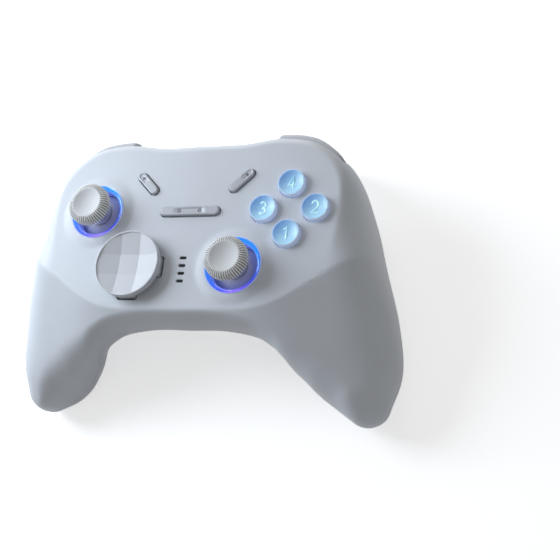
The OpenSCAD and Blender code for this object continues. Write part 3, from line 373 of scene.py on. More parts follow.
def add_node(tree, kind, inputs, **settings):
    """Outputs of a new node whose inputs are other nodes' outputs or fixed values."""
    node = tree.nodes.new(f"ShaderNode{kind}")
    for key, value in settings.items():
        setattr(node, key, value)
    for key, value in inputs.items():
        if isinstance(value, bpy.types.NodeSocket):
            tree.links.new(value, node.inputs[key])
        else:
            node.inputs[key].default_value = value
    return node.outputs


def worked_out(tree, kind, operation, *values, output=0):
    """Result of a math node."""
    return add_node(tree, kind, dict(enumerate(values)), operation=operation)[output]


def coordinates(tree, centre=(0, 0, 0), stretch=(1, 1, 1)):
    """Object coordinates in metres, from a centre given in millimetres from the face."""
    place = add_node(tree, "TexCoord", {})["Object"]
    origin = to_row(centre).tolist() if any(centre) else (0, 0, 0)
    away = worked_out(tree, "VectorMath", "SUBTRACT", place, origin)
    return worked_out(tree, "VectorMath", "MULTIPLY", away, stretch)


def noise(tree, size_mm, detail=3, stretch=(1, 1, 1)):
    """Noise whose features are about size_mm across."""
    place = coordinates(tree, stretch=stretch)
    scale = 1 / (size_mm * MM)
    return add_node(tree, "TexNoise", {"Vector": place, "Scale": scale, "Detail": detail})["Fac"]


def colour_ramp(tree, value, stops):
    """Colour from a value through stops of place and colour."""
    node = tree.nodes.new("ShaderNodeValToRGB")
    elements = node.color_ramp.elements
    while len(elements) < len(stops):
        elements.new(0.5)
    for element, (place, colour) in zip(elements, stops):
        element.position = place
        element.color = (*colour, 1)
    tree.links.new(value, node.inputs["Fac"])
    return node.outputs["Color"]


def map_range(tree, value, low, high, to_low, to_high):
    """Value from one range to another, held at its ends."""
    inputs = {"Value": value, "From Min": low, "From Max": high, "To Min": to_low, "To Max": to_high}
    return add_node(tree, "MapRange", inputs)["Result"]


def add_bump(tree, shader, height, depth_mm, strength):
    """Fine relief on the shader's normal."""
    bump = add_node(tree, "Bump", {"Strength": strength, "Distance": depth_mm * MM, "Height": height})
    tree.links.new(bump["Normal"], shader.inputs["Normal"])


def tint(colour, factor):
    """A colour made lighter or darker."""
    return tuple(min(channel * factor, 1) for channel in colour)


def vary_gloss(tree, shader, value, rough):
    """Roughness that goes over a range with a noise."""
    tree.links.new(map_range(tree, value, *NOISE_SPAN, *rough), shader.inputs["Roughness"])


def moulded(name, colour, rough=(0.4, 0.52), grain_mm=0.35, grain=0.25, clouds=0.03,
            stretch=(1, 1, 1), **sockets):
    """Moulded plastic, rubber or painted part: slow colour drift, and a fine grain in relief and gloss."""
    material, tree, shader = principled(name, colour, rough[0], **sockets)
    drift = noise(tree, DRIFT_SIZE)
    stops = list(zip(NOISE_SPAN, (tint(colour, 1 - clouds), tint(colour, 1 + clouds))))
    tree.links.new(colour_ramp(tree, drift, stops), shader.inputs["Base Color"])
    fine = noise(tree, grain_mm, 2, stretch)
    vary_gloss(tree, shader, fine, rough)
    add_bump(tree, shader, fine, GRAIN_DEPTH, grain)
    return material


def mixed(tree, factor, first, colour):
    """Colour that goes from the first to a fixed one as the factor goes from 0 to 1."""
    inputs = {"Factor": factor, MIX_FIRST: first, MIX_SECOND: (*colour, 1)}
    return add_node(tree, "Mix", inputs, data_type="RGBA")[MIX_RESULT]


def turn_share(tree, place):
    """Share of a turn round the origin; it starts at the left and runs through the bottom."""
    return add_node(tree, "TexGradient", {"Vector": place}, gradient_type="RADIAL")["Fac"]


def flat_distance(tree, place):
    """Distance of a point from the upright axis through the origin."""
    flat = worked_out(tree, "VectorMath", "MULTIPLY", place, (1, 1, 0))
    return worked_out(tree, "VectorMath", "LENGTH", flat, output="Value")


SHELL = (0.68, 0.715, 0.765)
front_plastic = moulded("front_plastic", SHELL)
back_plastic = moulded("back_plastic", tint(SHELL, 0.95))
lever_plastic = moulded("lever_plastic", (0.56, 0.575, 0.61), (0.34, 0.44))
pad_plastic = moulded("pad_plastic", (0.64, 0.66, 0.70), (0.36, 0.44), grain=0.1)
cross_plastic = moulded("cross_plastic", (0.55, 0.565, 0.60), (0.35, 0.45))
skirt_plastic = moulded("skirt_plastic", (0.42, 0.43, 0.52), (0.25, 0.33), grain=0.08)
button_metal = moulded("button_metal", (0.46, 0.48, 0.52), (0.36, 0.44), grain=0.12, Metallic=0.12)
mark_ink = moulded("mark_ink", (0.12, 0.13, 0.16), (0.4, 0.5))
smoked = moulded("smoked", (0.004, 0.005, 0.008), (0.5, 0.6), grain=0.05, Specular_IOR_Level=0.2)
rim_plastic = moulded("rim_plastic", (0.62, 0.68, 0.92), (0.15, 0.22), grain=0.04,
                      Emission_Color=(0.5, 0.6, 1, 1), Emission_Strength=0.2)
nylon = moulded("nylon", (0.76, 0.73, 0.64), (0.45, 0.55))
dark_plastic = moulded("dark_plastic", (0.05, 0.05, 0.06), (0.45, 0.6))
pad_rubber = moulded("pad_rubber", (0.16, 0.17, 0.2), (0.6, 0.75), grain=0.4)
cell_wrap = moulded("cell_wrap", (0.08, 0.16, 0.28), (0.25, 0.35), clouds=0.08)
steel = moulded("steel", (0.58, 0.58, 0.6), (0.22, 0.36), grain_mm=0.3, stretch=(1, 1, 8), Metallic=1.0)
dense_metal = moulded("dense_metal", (0.3, 0.3, 0.31), (0.45, 0.6), grain=0.4, Metallic=0.9)
board = moulded("board", (0.03, 0.16, 0.08), (0.3, 0.4), clouds=0.15, grain_mm=0.8)

AZURE = (0.02, 0.26, 0.96)
INDIGO = (0.07, 0.1, 0.88)
VIOLET = (0.26, 0.14, 0.92)
# Paler, greyer tone painted on the ring's inner lip and wall to lighten their shade.
LIP_PAINTED_LIGHT = (0.14, 0.2, 0.66)
RING_STOPS = [(0.0, AZURE), (0.2, INDIGO), (0.27, VIOLET), (0.4, INDIGO), (0.55, AZURE), (1.0, AZURE)]


RING_HAZE = 2
RING_ROUGH = (0.08, 0.16)


def glow(tree, shader, hue):
    """Colours the surface and its own light alike."""
    tree.links.new(hue, shader.inputs["Base Color"])
    tree.links.new(hue, shader.inputs["Emission Color"])


def ring_plastic(side):
    """Translucent glossy ring, lit from inside: azure, and violet at the bottom. Its inner lip takes a
    paler, greyer tone, which is painted light that lightens the shade on the ring's inner wall.
    """
    x, y, _ = middle(f"{side}_light_ring")
    material, tree, shader = principled(f"{side}_ring_blue", AZURE, RING_ROUGH[0], Coat_Weight=0.6,
                                        Coat_Roughness=0.05, Emission_Strength=0.45)
    place = coordinates(tree, (x, y, 0))
    inner = RING_R - RING_W
    span = (inner - RING_LIP) * MM, (inner + RING_LIP) * MM
    # Painted light: the inner lip and wall fade to a paler, greyer glowing tone that lightens their shade.
    lip = map_range(tree, flat_distance(tree, place), *span, 1, 0)
    turned = colour_ramp(tree, turn_share(tree, place), RING_STOPS)
    glow(tree, shader, mixed(tree, lip, turned, LIP_PAINTED_LIGHT))
    vary_gloss(tree, shader, noise(tree, RING_HAZE), RING_ROUGH)
    return material


CAP_DISH = (0.68, 0.69, 0.70)
CAP_CREST = (0.90, 0.90, 0.89)
# The darker colour in the knurl grooves is painted shade.
CAP_GROOVE_SHADE = (0.2, 0.21, 0.22)
CAP_GRAIN = 0.25
CAP_GRAIN_STRENGTH = 0.35
CAP_ROUGH = (0.5, 0.62)
HALF_KNURL = 0.5
GROOVE_SHADE_SPAN = (0.26, 0.42)


def cap_rubber(side):
    """Pale matt rubber with painted shade: its knurl grooves are coloured darker."""
    x, y, _ = middle(f"{side}_stick_cap")
    material, tree, shader = principled(f"{side}_cap_rubber", CAP_DISH, CAP_ROUGH[0])
    place = coordinates(tree, (x, y, 0))
    steps = worked_out(tree, "Math", "MULTIPLY", turn_share(tree, place), KNURLS)
    wave = worked_out(tree, "Math", "PINGPONG", steps, HALF_KNURL)
    span = (DISH_R + CAP_RIM) * MM, (DISH_R + 3 * CAP_RIM) * MM
    dish = map_range(tree, flat_distance(tree, place), *span, 1, 0)
    # Painted shade: the grooves between the knurls are coloured darker, on top of their real dents.
    groove = map_range(tree, wave, *GROOVE_SHADE_SPAN, 0, 1)
    knurls = colour_ramp(tree, groove, [(0, CAP_CREST), (1, CAP_GROOVE_SHADE)])
    tree.links.new(mixed(tree, dish, knurls, CAP_DISH), shader.inputs["Base Color"])
    fine = noise(tree, CAP_GRAIN, 2)
    vary_gloss(tree, shader, fine, CAP_ROUGH)
    add_bump(tree, shader, fine, GRAIN_DEPTH, CAP_GRAIN_STRENGTH)
    return material


# Tones of the clear buttons, all painted light: a shaded upper left, a lit lower right and a painted
# highlight on the rim.
BUTTON_SHADED = (0.19, 0.42, 0.83)
BUTTON_LIT = (0.42, 0.72, 0.95)
BUTTON_RIM_HIGHLIGHT = (0.66, 0.76, 0.98)
BUTTON_SHADE_STOPS = [(0.05, BUTTON_SHADED), (0.6, BUTTON_LIT), (1, tint(BUTTON_LIT, 1.08))]
BUTTON_HAZE = 1.5
BUTTON_ROUGH = (0.22, 0.32)


def button_plastic(number):
    """Clear blue cap with painted light: shaded at its upper left inside, lighter towards the lower right,
    with a painted highlight at its rim and a faint painted glow.
    """
    x, y, _ = middle(f"face_button_{number}")
    radius = (corners(f"face_button_{number}")[1][0] - x) * MM
    # The faint emission is a painted glow, because the button holds no lamp.
    material, tree, shader = principled(f"button_blue_{number}", BUTTON_LIT, BUTTON_ROUGH[0],
                                        Emission_Strength=0.14)
    place = coordinates(tree, (x, y, 0))
    parts = add_node(tree, "SeparateXYZ", {"Vector": place})
    slant = worked_out(tree, "Math", "SUBTRACT", parts["X"], parts["Y"])
    # Painted shade and light: the bowl is darker towards the upper left and lighter towards the lower right,
    # and its rim gets a painted highlight.
    body = colour_ramp(tree, map_range(tree, slant, -radius, radius, 0, 1), BUTTON_SHADE_STOPS)
    rim = map_range(tree, flat_distance(tree, place), BUTTON_BOWL * MM, BUTTON_R * MM, 0, 1)
    glow(tree, shader, mixed(tree, rim, body, BUTTON_RIM_HIGHLIGHT))
    vary_gloss(tree, shader, noise(tree, BUTTON_HAZE), BUTTON_ROUGH)
    return material


# Raised numerals in the buttons, with a faint painted glow, because they hold no lamp.
glyph_blue = moulded("glyph_blue", (0.56, 0.88, 0.97), (0.15, 0.25), grain=0.05,
                     Emission_Color=(0.5, 0.9, 1, 1), Emission_Strength=0.25)

# Shell. Half of it in plan, from the middle to the grip, one row a station:
# inner edge x and y, outer edge x and y, depth of the seam, inner and outer rounding, depth of the back.
PLAN = np.array([
    [0, -24, 0, 49.5, 12, 3.5, 6, 30],
    [14, -24, 17, 49.5, 12, 3.5, 6, 30],
    [27, -26, 33, 51.5, 13, 4, 6.5, 30],
    [34, -29.5, 48, 48.5, 15, 5, 6.5, 30],
    [38, -33, 60, 38.5, 17, 6.5, 11, 33],
    [41, -36.5, 66.5, 22.5, 24, 9, 28, 36],
    [44.5, -39.5, 71, 5, 28.5, 11, 26, 40],
    [49, -43.5, 76, -14, 32.5, 12, 25, 44],
    [55, -47.5, 78, -31.5, 35.5, 12, 19, 46]], float)
INNER = slice(0, 2)
OUTER = slice(2, 4)
SEAM = 4
ROUNDINGS = slice(5, 7)
BACK = 7
UPWARDS = np.array([1, 1, 1, 1, -1, 1, 1, -1])
FLIP = np.array([-1, 1, -1, 1, 1, 1, 1, 1])
TIP_AT = np.array([66.5, -45.0])
TIP_R = 8.5
TIP_FROM = -122
TIP_TO = -12
TIP_SEAM = 34
TIP_BACK = 44
DOME_R = 13
CREASE_Y = 20.3
CREASE_FALL = 0.5
CREASE_BEND = 33
CREASE_SLOPE = 0.643
CREASE_BLEND = 6
CREASE_SOFT = 0.6
BACK_ROUND = 2.4
RING_R = 11.05
COLLAR_RIM = 0.4
COLLAR_W = 4.6
STICKS = [middle(f"{side}_light_ring")[:2] for side, _ in SIDES]
HUMP_AT = (0, 12)
HUMP_HALF = (36, 24)
HUMP_BLEND = 8.5
HUMP_EASE = 2
WALL = 2.2
SEAM_GAP = 0.05
LAST = len(PLAN)


def polar(radius, degrees):
    """Point at a distance and a direction."""
    return radius * np.array([math.cos(math.radians(degrees)), math.sin(math.radians(degrees))])


def tip_station(t):
    """Station on the arc round the grip's tip; t runs from 0 to 1 at the very end."""
    half_way = (TIP_FROM + TIP_TO) / 2
    inner = TIP_AT + polar(TIP_R, TIP_FROM + (half_way - TIP_FROM) * t)
    outer = TIP_AT + polar(TIP_R, TIP_TO + (half_way - TIP_TO) * t)
    return np.array([*inner, *outer, -TIP_SEAM, *PLAN[-1, ROUNDINGS], -TIP_BACK])


STATIONS = [*(PLAN * UPWARDS), tip_station(0)]


def beyond():
    """Made-up station past the last, so that the edges run into the tip's arc."""
    here = STATIONS[LAST]
    before = STATIONS[LAST - 1]
    inner = polar(np.linalg.norm(here[INNER] - before[INNER]), TIP_FROM + 90)
    outer = polar(np.linalg.norm(here[OUTER] - before[OUTER]), TIP_TO - 90)
    return here + np.array([*inner, *outer, 0, 0, 0, 0])


def row(k):
    """Station number k, mirrored below 0."""
    if k < 0:
        return STATIONS[-k] * FLIP
    return beyond() if k > LAST else STATIONS[k]


def spline(a, b, c, d, t):
    """Smooth curve from b to c."""
    return 0.5 * (2 * b + (c - a) * t + (2 * a - 5 * b + 4 * c - d) * t**2 + (3 * b - a - 3 * c + d) * t**3)


def station(u):
    """Station at any place along the shell; u is negative on the left."""
    if u < 0:
        return station(-u) * FLIP
    if u >= LAST:
        return tip_station(u - LAST)
    i = int(u)
    return spline(row(i - 1), row(i), row(i + 1), row(i + 2), u - i)


def face_height(x, y):
    """Height of the face with sharp edges: flat, falling below the crease, raised round the rings."""
    first = -CREASE_Y - y
    second = (CREASE_SLOPE * (np.abs(x) - CREASE_BEND) - CREASE_Y - y) / math.hypot(1, CREASE_SLOPE)
    near = np.maximum(CREASE_BLEND - np.abs(first - second), 0)
    below = np.maximum(first, second) + near**2 / (4 * CREASE_BLEND)
    soft = (np.clip(below, -CREASE_SOFT, CREASE_SOFT) + CREASE_SOFT)**2 / (4 * CREASE_SOFT)
    height = -CREASE_FALL * np.where(below >= CREASE_SOFT, below, soft)
    for sx, sy in STICKS:
        out = np.hypot(x - sx, y - sy) - RING_R - COLLAR_RIM
        height = height + COLLAR_H * (1 - smooth_step(out / (COLLAR_W - COLLAR_RIM)))
    return height


def hump(x, y, inset):
    """Share of the battery's bulge at a point of the back."""
    across = smooth_step((HUMP_HALF[0] - inset - np.abs(x - HUMP_AT[0])) / HUMP_BLEND)
    along = smooth_step((HUMP_HALF[1] - inset - np.abs(y - HUMP_AT[1])) / HUMP_BLEND)
    return across * along


def ends(s, inset):
    """Both ends of a station's line, moved inwards."""
    a, b = s[INNER], s[OUTER]
    d = (b - a) / np.linalg.norm(b - a)
    return a + d * inset, b - d * inset


def dome(span):
    """How much of its height a narrow section keeps."""
    return math.sin(math.pi / 2 * min(1, span / 2 / DOME_R))


EDGE_STEPS = 20
FLAT_STEPS = 120
BACK_STEPS = 70
SHELL_ROWS = 140
ROUND_SHARE = 0.96
LEAST_ROUND = 1
EDGE_POWER = 2.2
FLANK_POWER = 2.7
FLANK_FROM = 3.0
FLANK_TO = 8.0
FLANK_BLEND = 1.6
TIP_OUTER = 0.99
TIP_INNER = 0.45


def edge_power(u):
    """How square the roundings are at u: more so on the flanks, where they are wide."""
    rise = smooth_step((abs(u) - FLANK_FROM) / FLANK_BLEND)
    fall = smooth_step((FLANK_TO - abs(u)) / FLANK_BLEND)
    return EDGE_POWER + (FLANK_POWER - EDGE_POWER) * rise * fall


def front_row(u, inset):
    """Crosswise curve over the face at u."""
    s = station(u)
    a, b = ends(s, inset)
    span = np.linalg.norm(b - a)
    want = np.maximum(s[ROUNDINGS] - inset, LEAST_ROUND)
    ra, rb = want * min(1, ROUND_SHARE * span / want.sum())
    turns = np.linspace(0, math.pi / 2, EDGE_STEPS + 1)
    flat = np.linspace(0, 1, FLAT_STEPS + 1)[1:-1]
    along = np.concatenate([ra * (1 - np.cos(turns)), ra + (span - ra - rb) * flat,
                            (span - rb * (1 - np.cos(turns)))[::-1]])
    power = edge_power(u)
    rise = np.maximum(1 - np.cos(turns)**power, 0)**(1 / power)
    lift = np.concatenate([rise, np.ones(len(flat)), rise[::-1]])
    x, y = (a[:, None] + ((b - a) / span)[:, None] * along)
    z = s[SEAM] + (face_height(x, y) - inset - s[SEAM]) * lift * dome(span)
    return np.column_stack([x, y, z])


def back_row(u, inset):
    """Crosswise curve over the back at u."""
    s = station(u)
    a, b = ends(s, inset)
    span = np.linalg.norm(b - a)
    top = s[SEAM] - SEAM_GAP
    t = (1 - np.cos(np.linspace(0, math.pi, BACK_STEPS + 1))) / 2
    x, y = a[:, None] + (b - a)[:, None] * t
    bulge = np.maximum(1 - np.abs(2 * t - 1)**BACK_ROUND, 0)**(1 / BACK_ROUND)
    z = top - (top - s[BACK] - inset) * dome(span) * bulge
    share = hump(x, y, inset) * smooth_step(np.sin(math.pi * t) * HUMP_EASE)
    return np.column_stack([x, y, np.maximum(z + (inset - FACE_H - z) * share, inset - FACE_H)])


def shell_solid(curve):
    """Thin-walled half shell from an outer and an inner grid of curves, with its outer grid."""
    share = np.linspace(-1, 1, 2 * SHELL_ROWS + 1)
    outer = np.array([curve(t * (LAST + TIP_OUTER), 0) for t in share])
    inner = np.array([curve(t * (LAST + TIP_INNER), WALL) for t in share])
    return between_grids(outer, inner), outer


front_solid, front_outer = shell_solid(front_row)
face_tree = BVHTree.FromPolygons(front_outer.reshape(-1, 3).tolist(), grid_faces(*front_outer.shape[:2]))
SKY = 50


def face_under(points):
    """Height of the finished face under points in X and Y."""
    heights = []
    for x, y in points:
        hit = face_tree.ray_cast(Vector((x, y, SKY)), Vector((0, 0, -1)))[0]
        heights.append(hit.z if hit else 0)
    return np.array(heights)


HOLE_DEEP = 8
HOLE_HIGH = 6


def face_hole(outline, centre, rim, turn=0):
    """Tool for an upright hole whose rim is rounded into the face."""
    def placed(grow):
        return moved((lifted(outline(grow), 0), []), (centre[0], centre[1], 0), turn)[0][:, :2]
    rings = [lifted(placed(0), -HOLE_DEEP)]
    for inward, below in quarter(rim, FINE_ROUND):
        points = placed(inward)
        rings.append(lifted(points, face_under(points) - below))
    rings.append(lifted(placed(rim), HOLE_HIGH))
    return loft(rings)


# Edge of the shell, where the bumpers and triggers sit.
def edge_at(u):
    """Point of the upper edge in plan."""
    return station(u)[OUTER]


EDGE_STEP = 0.02
EDGE_SEARCH = (1.0, 4.0)
HALVINGS = 30


def edge_off(u, off):
    """Point of the upper edge moved outwards."""
    d = edge_at(u + EDGE_STEP) - edge_at(u - EDGE_STEP)
    return edge_at(u) + off * np.array([-d[1], d[0]]) / np.linalg.norm(d)


def edge_u(x):
    """Where the upper edge has that x."""
    low, high = EDGE_SEARCH
    for _ in range(HALVINGS):
        half_way = (low + high) / 2
        if edge_at(half_way)[0] < x:
            low = half_way
        else:
            high = half_way
    return low


CLEAR = 0.3
FIT = 0.1
BUMPER_U = (1.77, 3.78)
BUMPER_STEPS = 60
BUMPER_TOP = corners("right_bumper")[1][2]
BUMPER_LOW = corners("right_bumper")[0][2]
BUMPER_OUT = 0.9
BUMPER_T = 5.2
BUMPER_IN = BUMPER_OUT - BUMPER_T
BUMPER_ROUND = 2.4
BUMPER_TUCK = 1.6
BUMPER_TUCK_U = 1.2
BUMPER_BEYOND = 7.5
BUMPER_ROOM = 1.5
BUMPER_END_GAP = 0.025
BUMPER_SWING_GAP = 0.08
BUMPER_ENDS = (0.55, 0.76, 0.88, 0.95, 0.985)
TRIGGER_DROP = 2.4
TRIGGER_TOP = BUMPER_LOW - TRIGGER_DROP
TRIGGER_ENDS = (0.78, 0.88, 0.94, 0.975, 0.992)
FINGER_X = (28.5, 47.0)
FINGER_FRONT = np.array([[0, 0], [2.4, -0.7], [4.7, -3.4], [5.3, -8], [5.1, -13], [6.5, -17.6]], float)
FINGER_BACK = np.array([[0, -3.2], [0.9, -4.4], [1.8, -7.4], [2, -12], [3.4, -17.4], [5.6, -19.2]], float)
FINGER_SMOOTH = 8
FINGER_STEPS = 44
NOTCH_GAP = 0.5
NOTCH_LONG = 24.5
NOTCH_Y = TRIGGER_REACH - NOTCH_LONG
NOTCH_FAR = 30
PIN_Y = 42.0
PIN_DROP = 6.5
TRIGGER_PIN = (PIN_Y, BUMPER_LOW - PIN_DROP)
TRIGGER_HUB_R = 3.2
TRIGGER_BORE_R = 1.35
HUB_INSET = 6
BORE_OVER = 1
WEB_U = 2
WEB_BITE = 0.9
WEB_Y = edge_at(WEB_U)[1] + WEB_BITE
WEB_DEPTHS = (2.8, 7)
USB_SIZE = (9.54, 3.86)
USB_LENGTH = 15


def mirrored(solid, sign):
    """The solid, mirrored to the left side where sign is negative."""
    points, faces = solid
    return np.asarray(points, float) * (sign, 1, 1), faces


def bumper_pocket(sign):
    """Room for a bumper in the shells' edge."""
    us = np.linspace(BUMPER_U[0] - BUMPER_END_GAP, BUMPER_U[1] + BUMPER_SWING_GAP, BUMPER_STEPS)
    outline = [edge_off(u, BUMPER_BEYOND) for u in us]
    outline += [edge_off(u, BUMPER_IN - BUMPER_ROOM) for u in us[::-1]]
    return mirrored(prism(outline, BUMPER_LOW - CLEAR - FIT, BUMPER_TOP + CLEAR), sign)


def trigger_notch(sign):
    """Room for a trigger below its bumper."""
    x0, x1 = FINGER_X[0] - NOTCH_GAP, FINGER_X[1] + NOTCH_GAP
    y0, y1 = NOTCH_Y, NOTCH_Y + NOTCH_FAR
    outline = [(x0, y0), (x1, y0), (x1, y1), (x0, y1)]
    return mirrored(prism(outline, -FACE_H - NOTCH_FAR, BUMPER_LOW - CLEAR), sign)


def usb_opening():
    """Slot for the socket in the upper edge."""
    outline = stadium_outline(*USB_SIZE)(0)
    x, _, z = middle("usb_socket")
    front = corners("usb_socket")[1][1]
    return loft([np.column_stack([x + outline[:, 0], np.full(len(outline), y), z + outline[:, 1]])
                 for y in (front - USB_LENGTH / 2, front + USB_LENGTH / 2)])


# Front shell with its holes
BUTTON_GAP = 0.3
HOLE_RIM = 0.3
FINE_RIM = HOLE_RIM / 3
RING_GAP = 0.05
BUTTON_R = 5.15
BUTTON_BOWL = 4.65
MENU_SIZE = (11.8, 3.5)
MENU_SLANT = 45
BAR_SIZE = (24.2, 3.6)
LAMP_SIZE = (2.8, 1.2)
LAMP_PITCH = 3.05
LAMP_TOP = -0.2
LAMP_COUNT = 4
ARM_HALF = 4.0
ARM_REACH = 12.4
ARM_ROUND = 1.2


def edge_openings(obj):
    """Cuts the room for bumpers, triggers and the socket into a half of the case."""
    cut(obj, bumper_pocket(-1), bumper_pocket(1), usb_opening())
    cut(obj, trigger_notch(-1), trigger_notch(1))


def key_hole(size, node, turn=0):
    """Tool for the hole round a bar-shaped key."""
    outline = stadium_outline(*[length + 2 * BUTTON_GAP for length in size])
    return face_hole(outline, middle(node), HOLE_RIM, turn)


def front_shell():
    """Upper half of the case."""
    obj = new_object("front_case", front_solid)
    holes = []
    for side, sign in SIDES:
        ring = circle_outline(RING_R + RING_GAP)
        holes.append(face_hole(ring, middle(f"{side}_light_ring"), FINE_RIM))
        holes.append(key_hole(MENU_SIZE, f"{side}_menu_button", sign * MENU_SLANT))
    button = circle_outline(BUTTON_R + BUTTON_GAP)
    holes += [face_hole(button, middle(f"face_button_{number}"), HOLE_RIM) for number in NUMERALS]
    cross = plus_outline(ARM_REACH + 2 * CLEAR, ARM_HALF + BUTTON_GAP, ARM_ROUND)
    holes.append(face_hole(cross, middle("pad_disc"), HOLE_RIM))
    holes.append(key_hole(BAR_SIZE, "centre_bar"))
    for i in range(LAMP_COUNT):
        holes.append(face_hole(stadium_outline(*LAMP_SIZE), (0, LAMP_TOP - LAMP_PITCH * i), FINE_RIM))
    cut(obj, *holes)
    edge_openings(obj)
    finish_piece(obj, front_plastic, "front_plastic", "case", ["front_shell"])


# Back shell with its screw posts
POST_R = 4
SCREW_R = 2.7
POST_SIDES = 64
SEAT_H = 12
SEAT_Z = -FACE_H + SEAT_H
POST_FOOT = -FACE_H + WALL / 2
MID_POST = (19, 16.5)
GRIP_POST = (66.5, -39.5)


def back_shell():
    """Lower half of the case."""
    obj = new_object("back_case", shell_solid(back_row)[0])
    places = [(sign * x, y, 0) for x, y in (MID_POST, GRIP_POST) for _, sign in SIDES]
    post = prism(circle_outline(POST_R, POST_SIDES)(0), POST_FOOT, SEAT_Z + WALL)
    combine(obj, [moved(post, place) for place in places], "UNION")
    recess = prism(circle_outline(SCREW_R, POST_SIDES)(0), -FACE_H - WALL, SEAT_Z)
    cut(obj, *[moved(recess, place) for place in places])
    edge_openings(obj)
    finish_piece(obj, back_plastic, "back_plastic", "case", ["back_shell"])


def eased(rings, lengths):
    """Rings drawn in a little towards both ends, so that the ends are rounded."""
    rings = np.array(rings)
    for i, share in enumerate(lengths):
        for k in (i, len(rings) - 1 - i):
            centre = rings[k].mean(axis=0)
            rings[k] = centre + (rings[k] - centre) * share
    return rings


def bumper(side, sign):
    """Shoulder button that follows the shell's upper edge."""
    rings = []
    for u in np.linspace(*BUMPER_U, BUMPER_STEPS):
        out = BUMPER_OUT - BUMPER_TUCK * smooth_step((u - BUMPER_U[1] + BUMPER_TUCK_U) / BUMPER_TUCK_U)
        line = [(BUMPER_IN, BUMPER_TOP), *rounded(out, BUMPER_TOP, BUMPER_ROUND)[::-1]]
        line += [*rounded(out, BUMPER_LOW, BUMPER_ROUND, level=1), (BUMPER_IN, BUMPER_LOW)]
        rings.append([(*edge_off(u, off), z) for off, z in line])
    obj = new_object(f"{side}_bumper_bar", mirrored(loft(eased(rings, BUMPER_ENDS)), sign))
    finish_piece(obj, lever_plastic, "lever_plastic", f"{side}_bumper", [f"{side}_bumper"])


def smooth_line(points, steps):
    """Smooth curve through points."""
    last = len(points) - 1
    line = [spline(points[max(i - 1, 0)], points[i], points[i + 1], points[min(i + 2, last)], k / steps)
            for i in range(last) for k in range(steps)]
    return np.array([*line, points[last]])


def trigger(side, sign):
    """Finger plate that follows the shell's edge, on a web and a hub."""
    front = smooth_line(FINGER_FRONT, FINGER_SMOOTH)
    back = smooth_line(FINGER_BACK, FINGER_SMOOTH)
    line = np.concatenate([front, back[::-1]])
    us = np.linspace(edge_u(FINGER_X[0]), edge_u(FINGER_X[1]), FINGER_STEPS)
    rings = [[(*edge_off(u, off), TRIGGER_TOP + z) for off, z in line] for u in us]
    obj = new_object(f"{side}_trigger_lever", mirrored(loft(eased(rings, TRIGGER_ENDS)), sign))
    x0, x1 = FINGER_X[0] + HUB_INSET, FINGER_X[1] - HUB_INSET
    y, z = TRIGGER_PIN
    web = [(y, z + TRIGGER_HUB_R - FIT), (WEB_Y, TRIGGER_TOP - WEB_DEPTHS[0]),
           (WEB_Y, TRIGGER_TOP - WEB_DEPTHS[1]), (y, z - TRIGGER_HUB_R + FIT)]
    combine(obj, [mirrored(loft([[(x, *point) for point in web] for x in (x0, x1)]), sign)], "UNION")
    combine(obj, [mirrored(along_x(TRIGGER_HUB_R, x0, x1, y, z), sign)], "UNION")
    cut(obj, mirrored(along_x(TRIGGER_BORE_R, x0 - BORE_OVER, x1 + BORE_OVER, y, z), sign))
    finish_piece(obj, lever_plastic, "lever_plastic", f"{side}_trigger", [f"{side}_trigger"])


# Light rings
RING_W = 1.75
RING_H = 1.0
RING_RIM = 0.2
RING_LIP = 0.15
LIP_DROP = 0.85
LIP_LOW = 1.3
RING_FOOT = 1.3
RING_SEAT = -0.2
RING_OUTER_SLOPE = ((0, 0.12), (0.2, 0.16))
RING_INNER_SLOPE = ((0.6, 0.55), (0.2, 0.75))
RIM_FOOT = -0.15


def light_ring(side):
    """Sloping ring that glows, with a thin pale rim round its outer edge."""
    node = f"{side}_light_ring"
    first, last = corners(node)
    low = first[2]
    wide = (last[0] - first[0]) / 2
    place = middle(node)
    inner = RING_R - RING_W
    edge = RING_R - RING_RIM
    lip = inner - RING_LIP
    foot = low + RING_FOOT
    profile = [(lip, low - LIP_DROP), (inner - FIT / 2, low - LIP_DROP), (inner - FIT / 2, low), (wide, low),
               (wide, foot), (RING_R, foot), (RING_R, RING_SEAT), (edge, RING_SEAT)]
    profile += [(edge - inward, RING_H - below) for inward, below in RING_OUTER_SLOPE]
    profile += [(inner + outward, RING_H - below) for outward, below in RING_INNER_SLOPE]
    profile.append((lip, RING_H - LIP_LOW))
    add_piece(f"{side}_glow_ring", revolve(profile, closed=True), place,
              ring_plastic(side), "ring_blue", "case", [node])
    profile = [(edge, RIM_FOOT), (RING_R, RIM_FOOT), *rounded(RING_R, RING_H, RING_RIM / 2, FINE_ROUND)]
    profile += rounded(edge, RING_H, RING_RIM / 2, FINE_ROUND, side=1)[-2::-1]
    add_piece(f"{side}_ring_rim", revolve(profile, closed=True), place, rim_plastic, "ring_blue", "case")


# Sticks
CAP_R = 8.3
CAP_T = 4.3
DISH_R = 5.7
DISH_DEPTH = 1.1
KNURLS = 50
KNURL_STEPS = 10
KNURL_DEPTH = 0.55
CAP_FALL = 2.0
CAP_RIM = 0.15
CAP_FOOT = 0.6
DISH_STEPS = 14
CROWN_STEPS = 16
BAND_STEPS = 5
KNURL_EASE = 3
NECK_R = 2.5
NECK_H = 2.5
NECK_CURVE = ((2.5, 0), (1.2, 0.25), (0.35, 0.75), (0, 1.4), (0, NECK_H))
NECK_INSIDE = 0.1
SKIRT_DROP = 2.2
SKIRT_STEPS = 28
SKIRT_T = 0.8
SKIRT_HALF = 67
PIVOT_Z = -12.5
SKIRT_R = 12.0
SKIRT_GROOVE = (23, 25.2)
GROOVE_DEEP = 0.55
GROOVE_EDGE = 0.1


def knurl(angles):
    """Groove between the knurls, 0 on a crest and 1 in a groove."""
    return (0.5 - 0.5 * np.cos(angles * KNURLS))**2


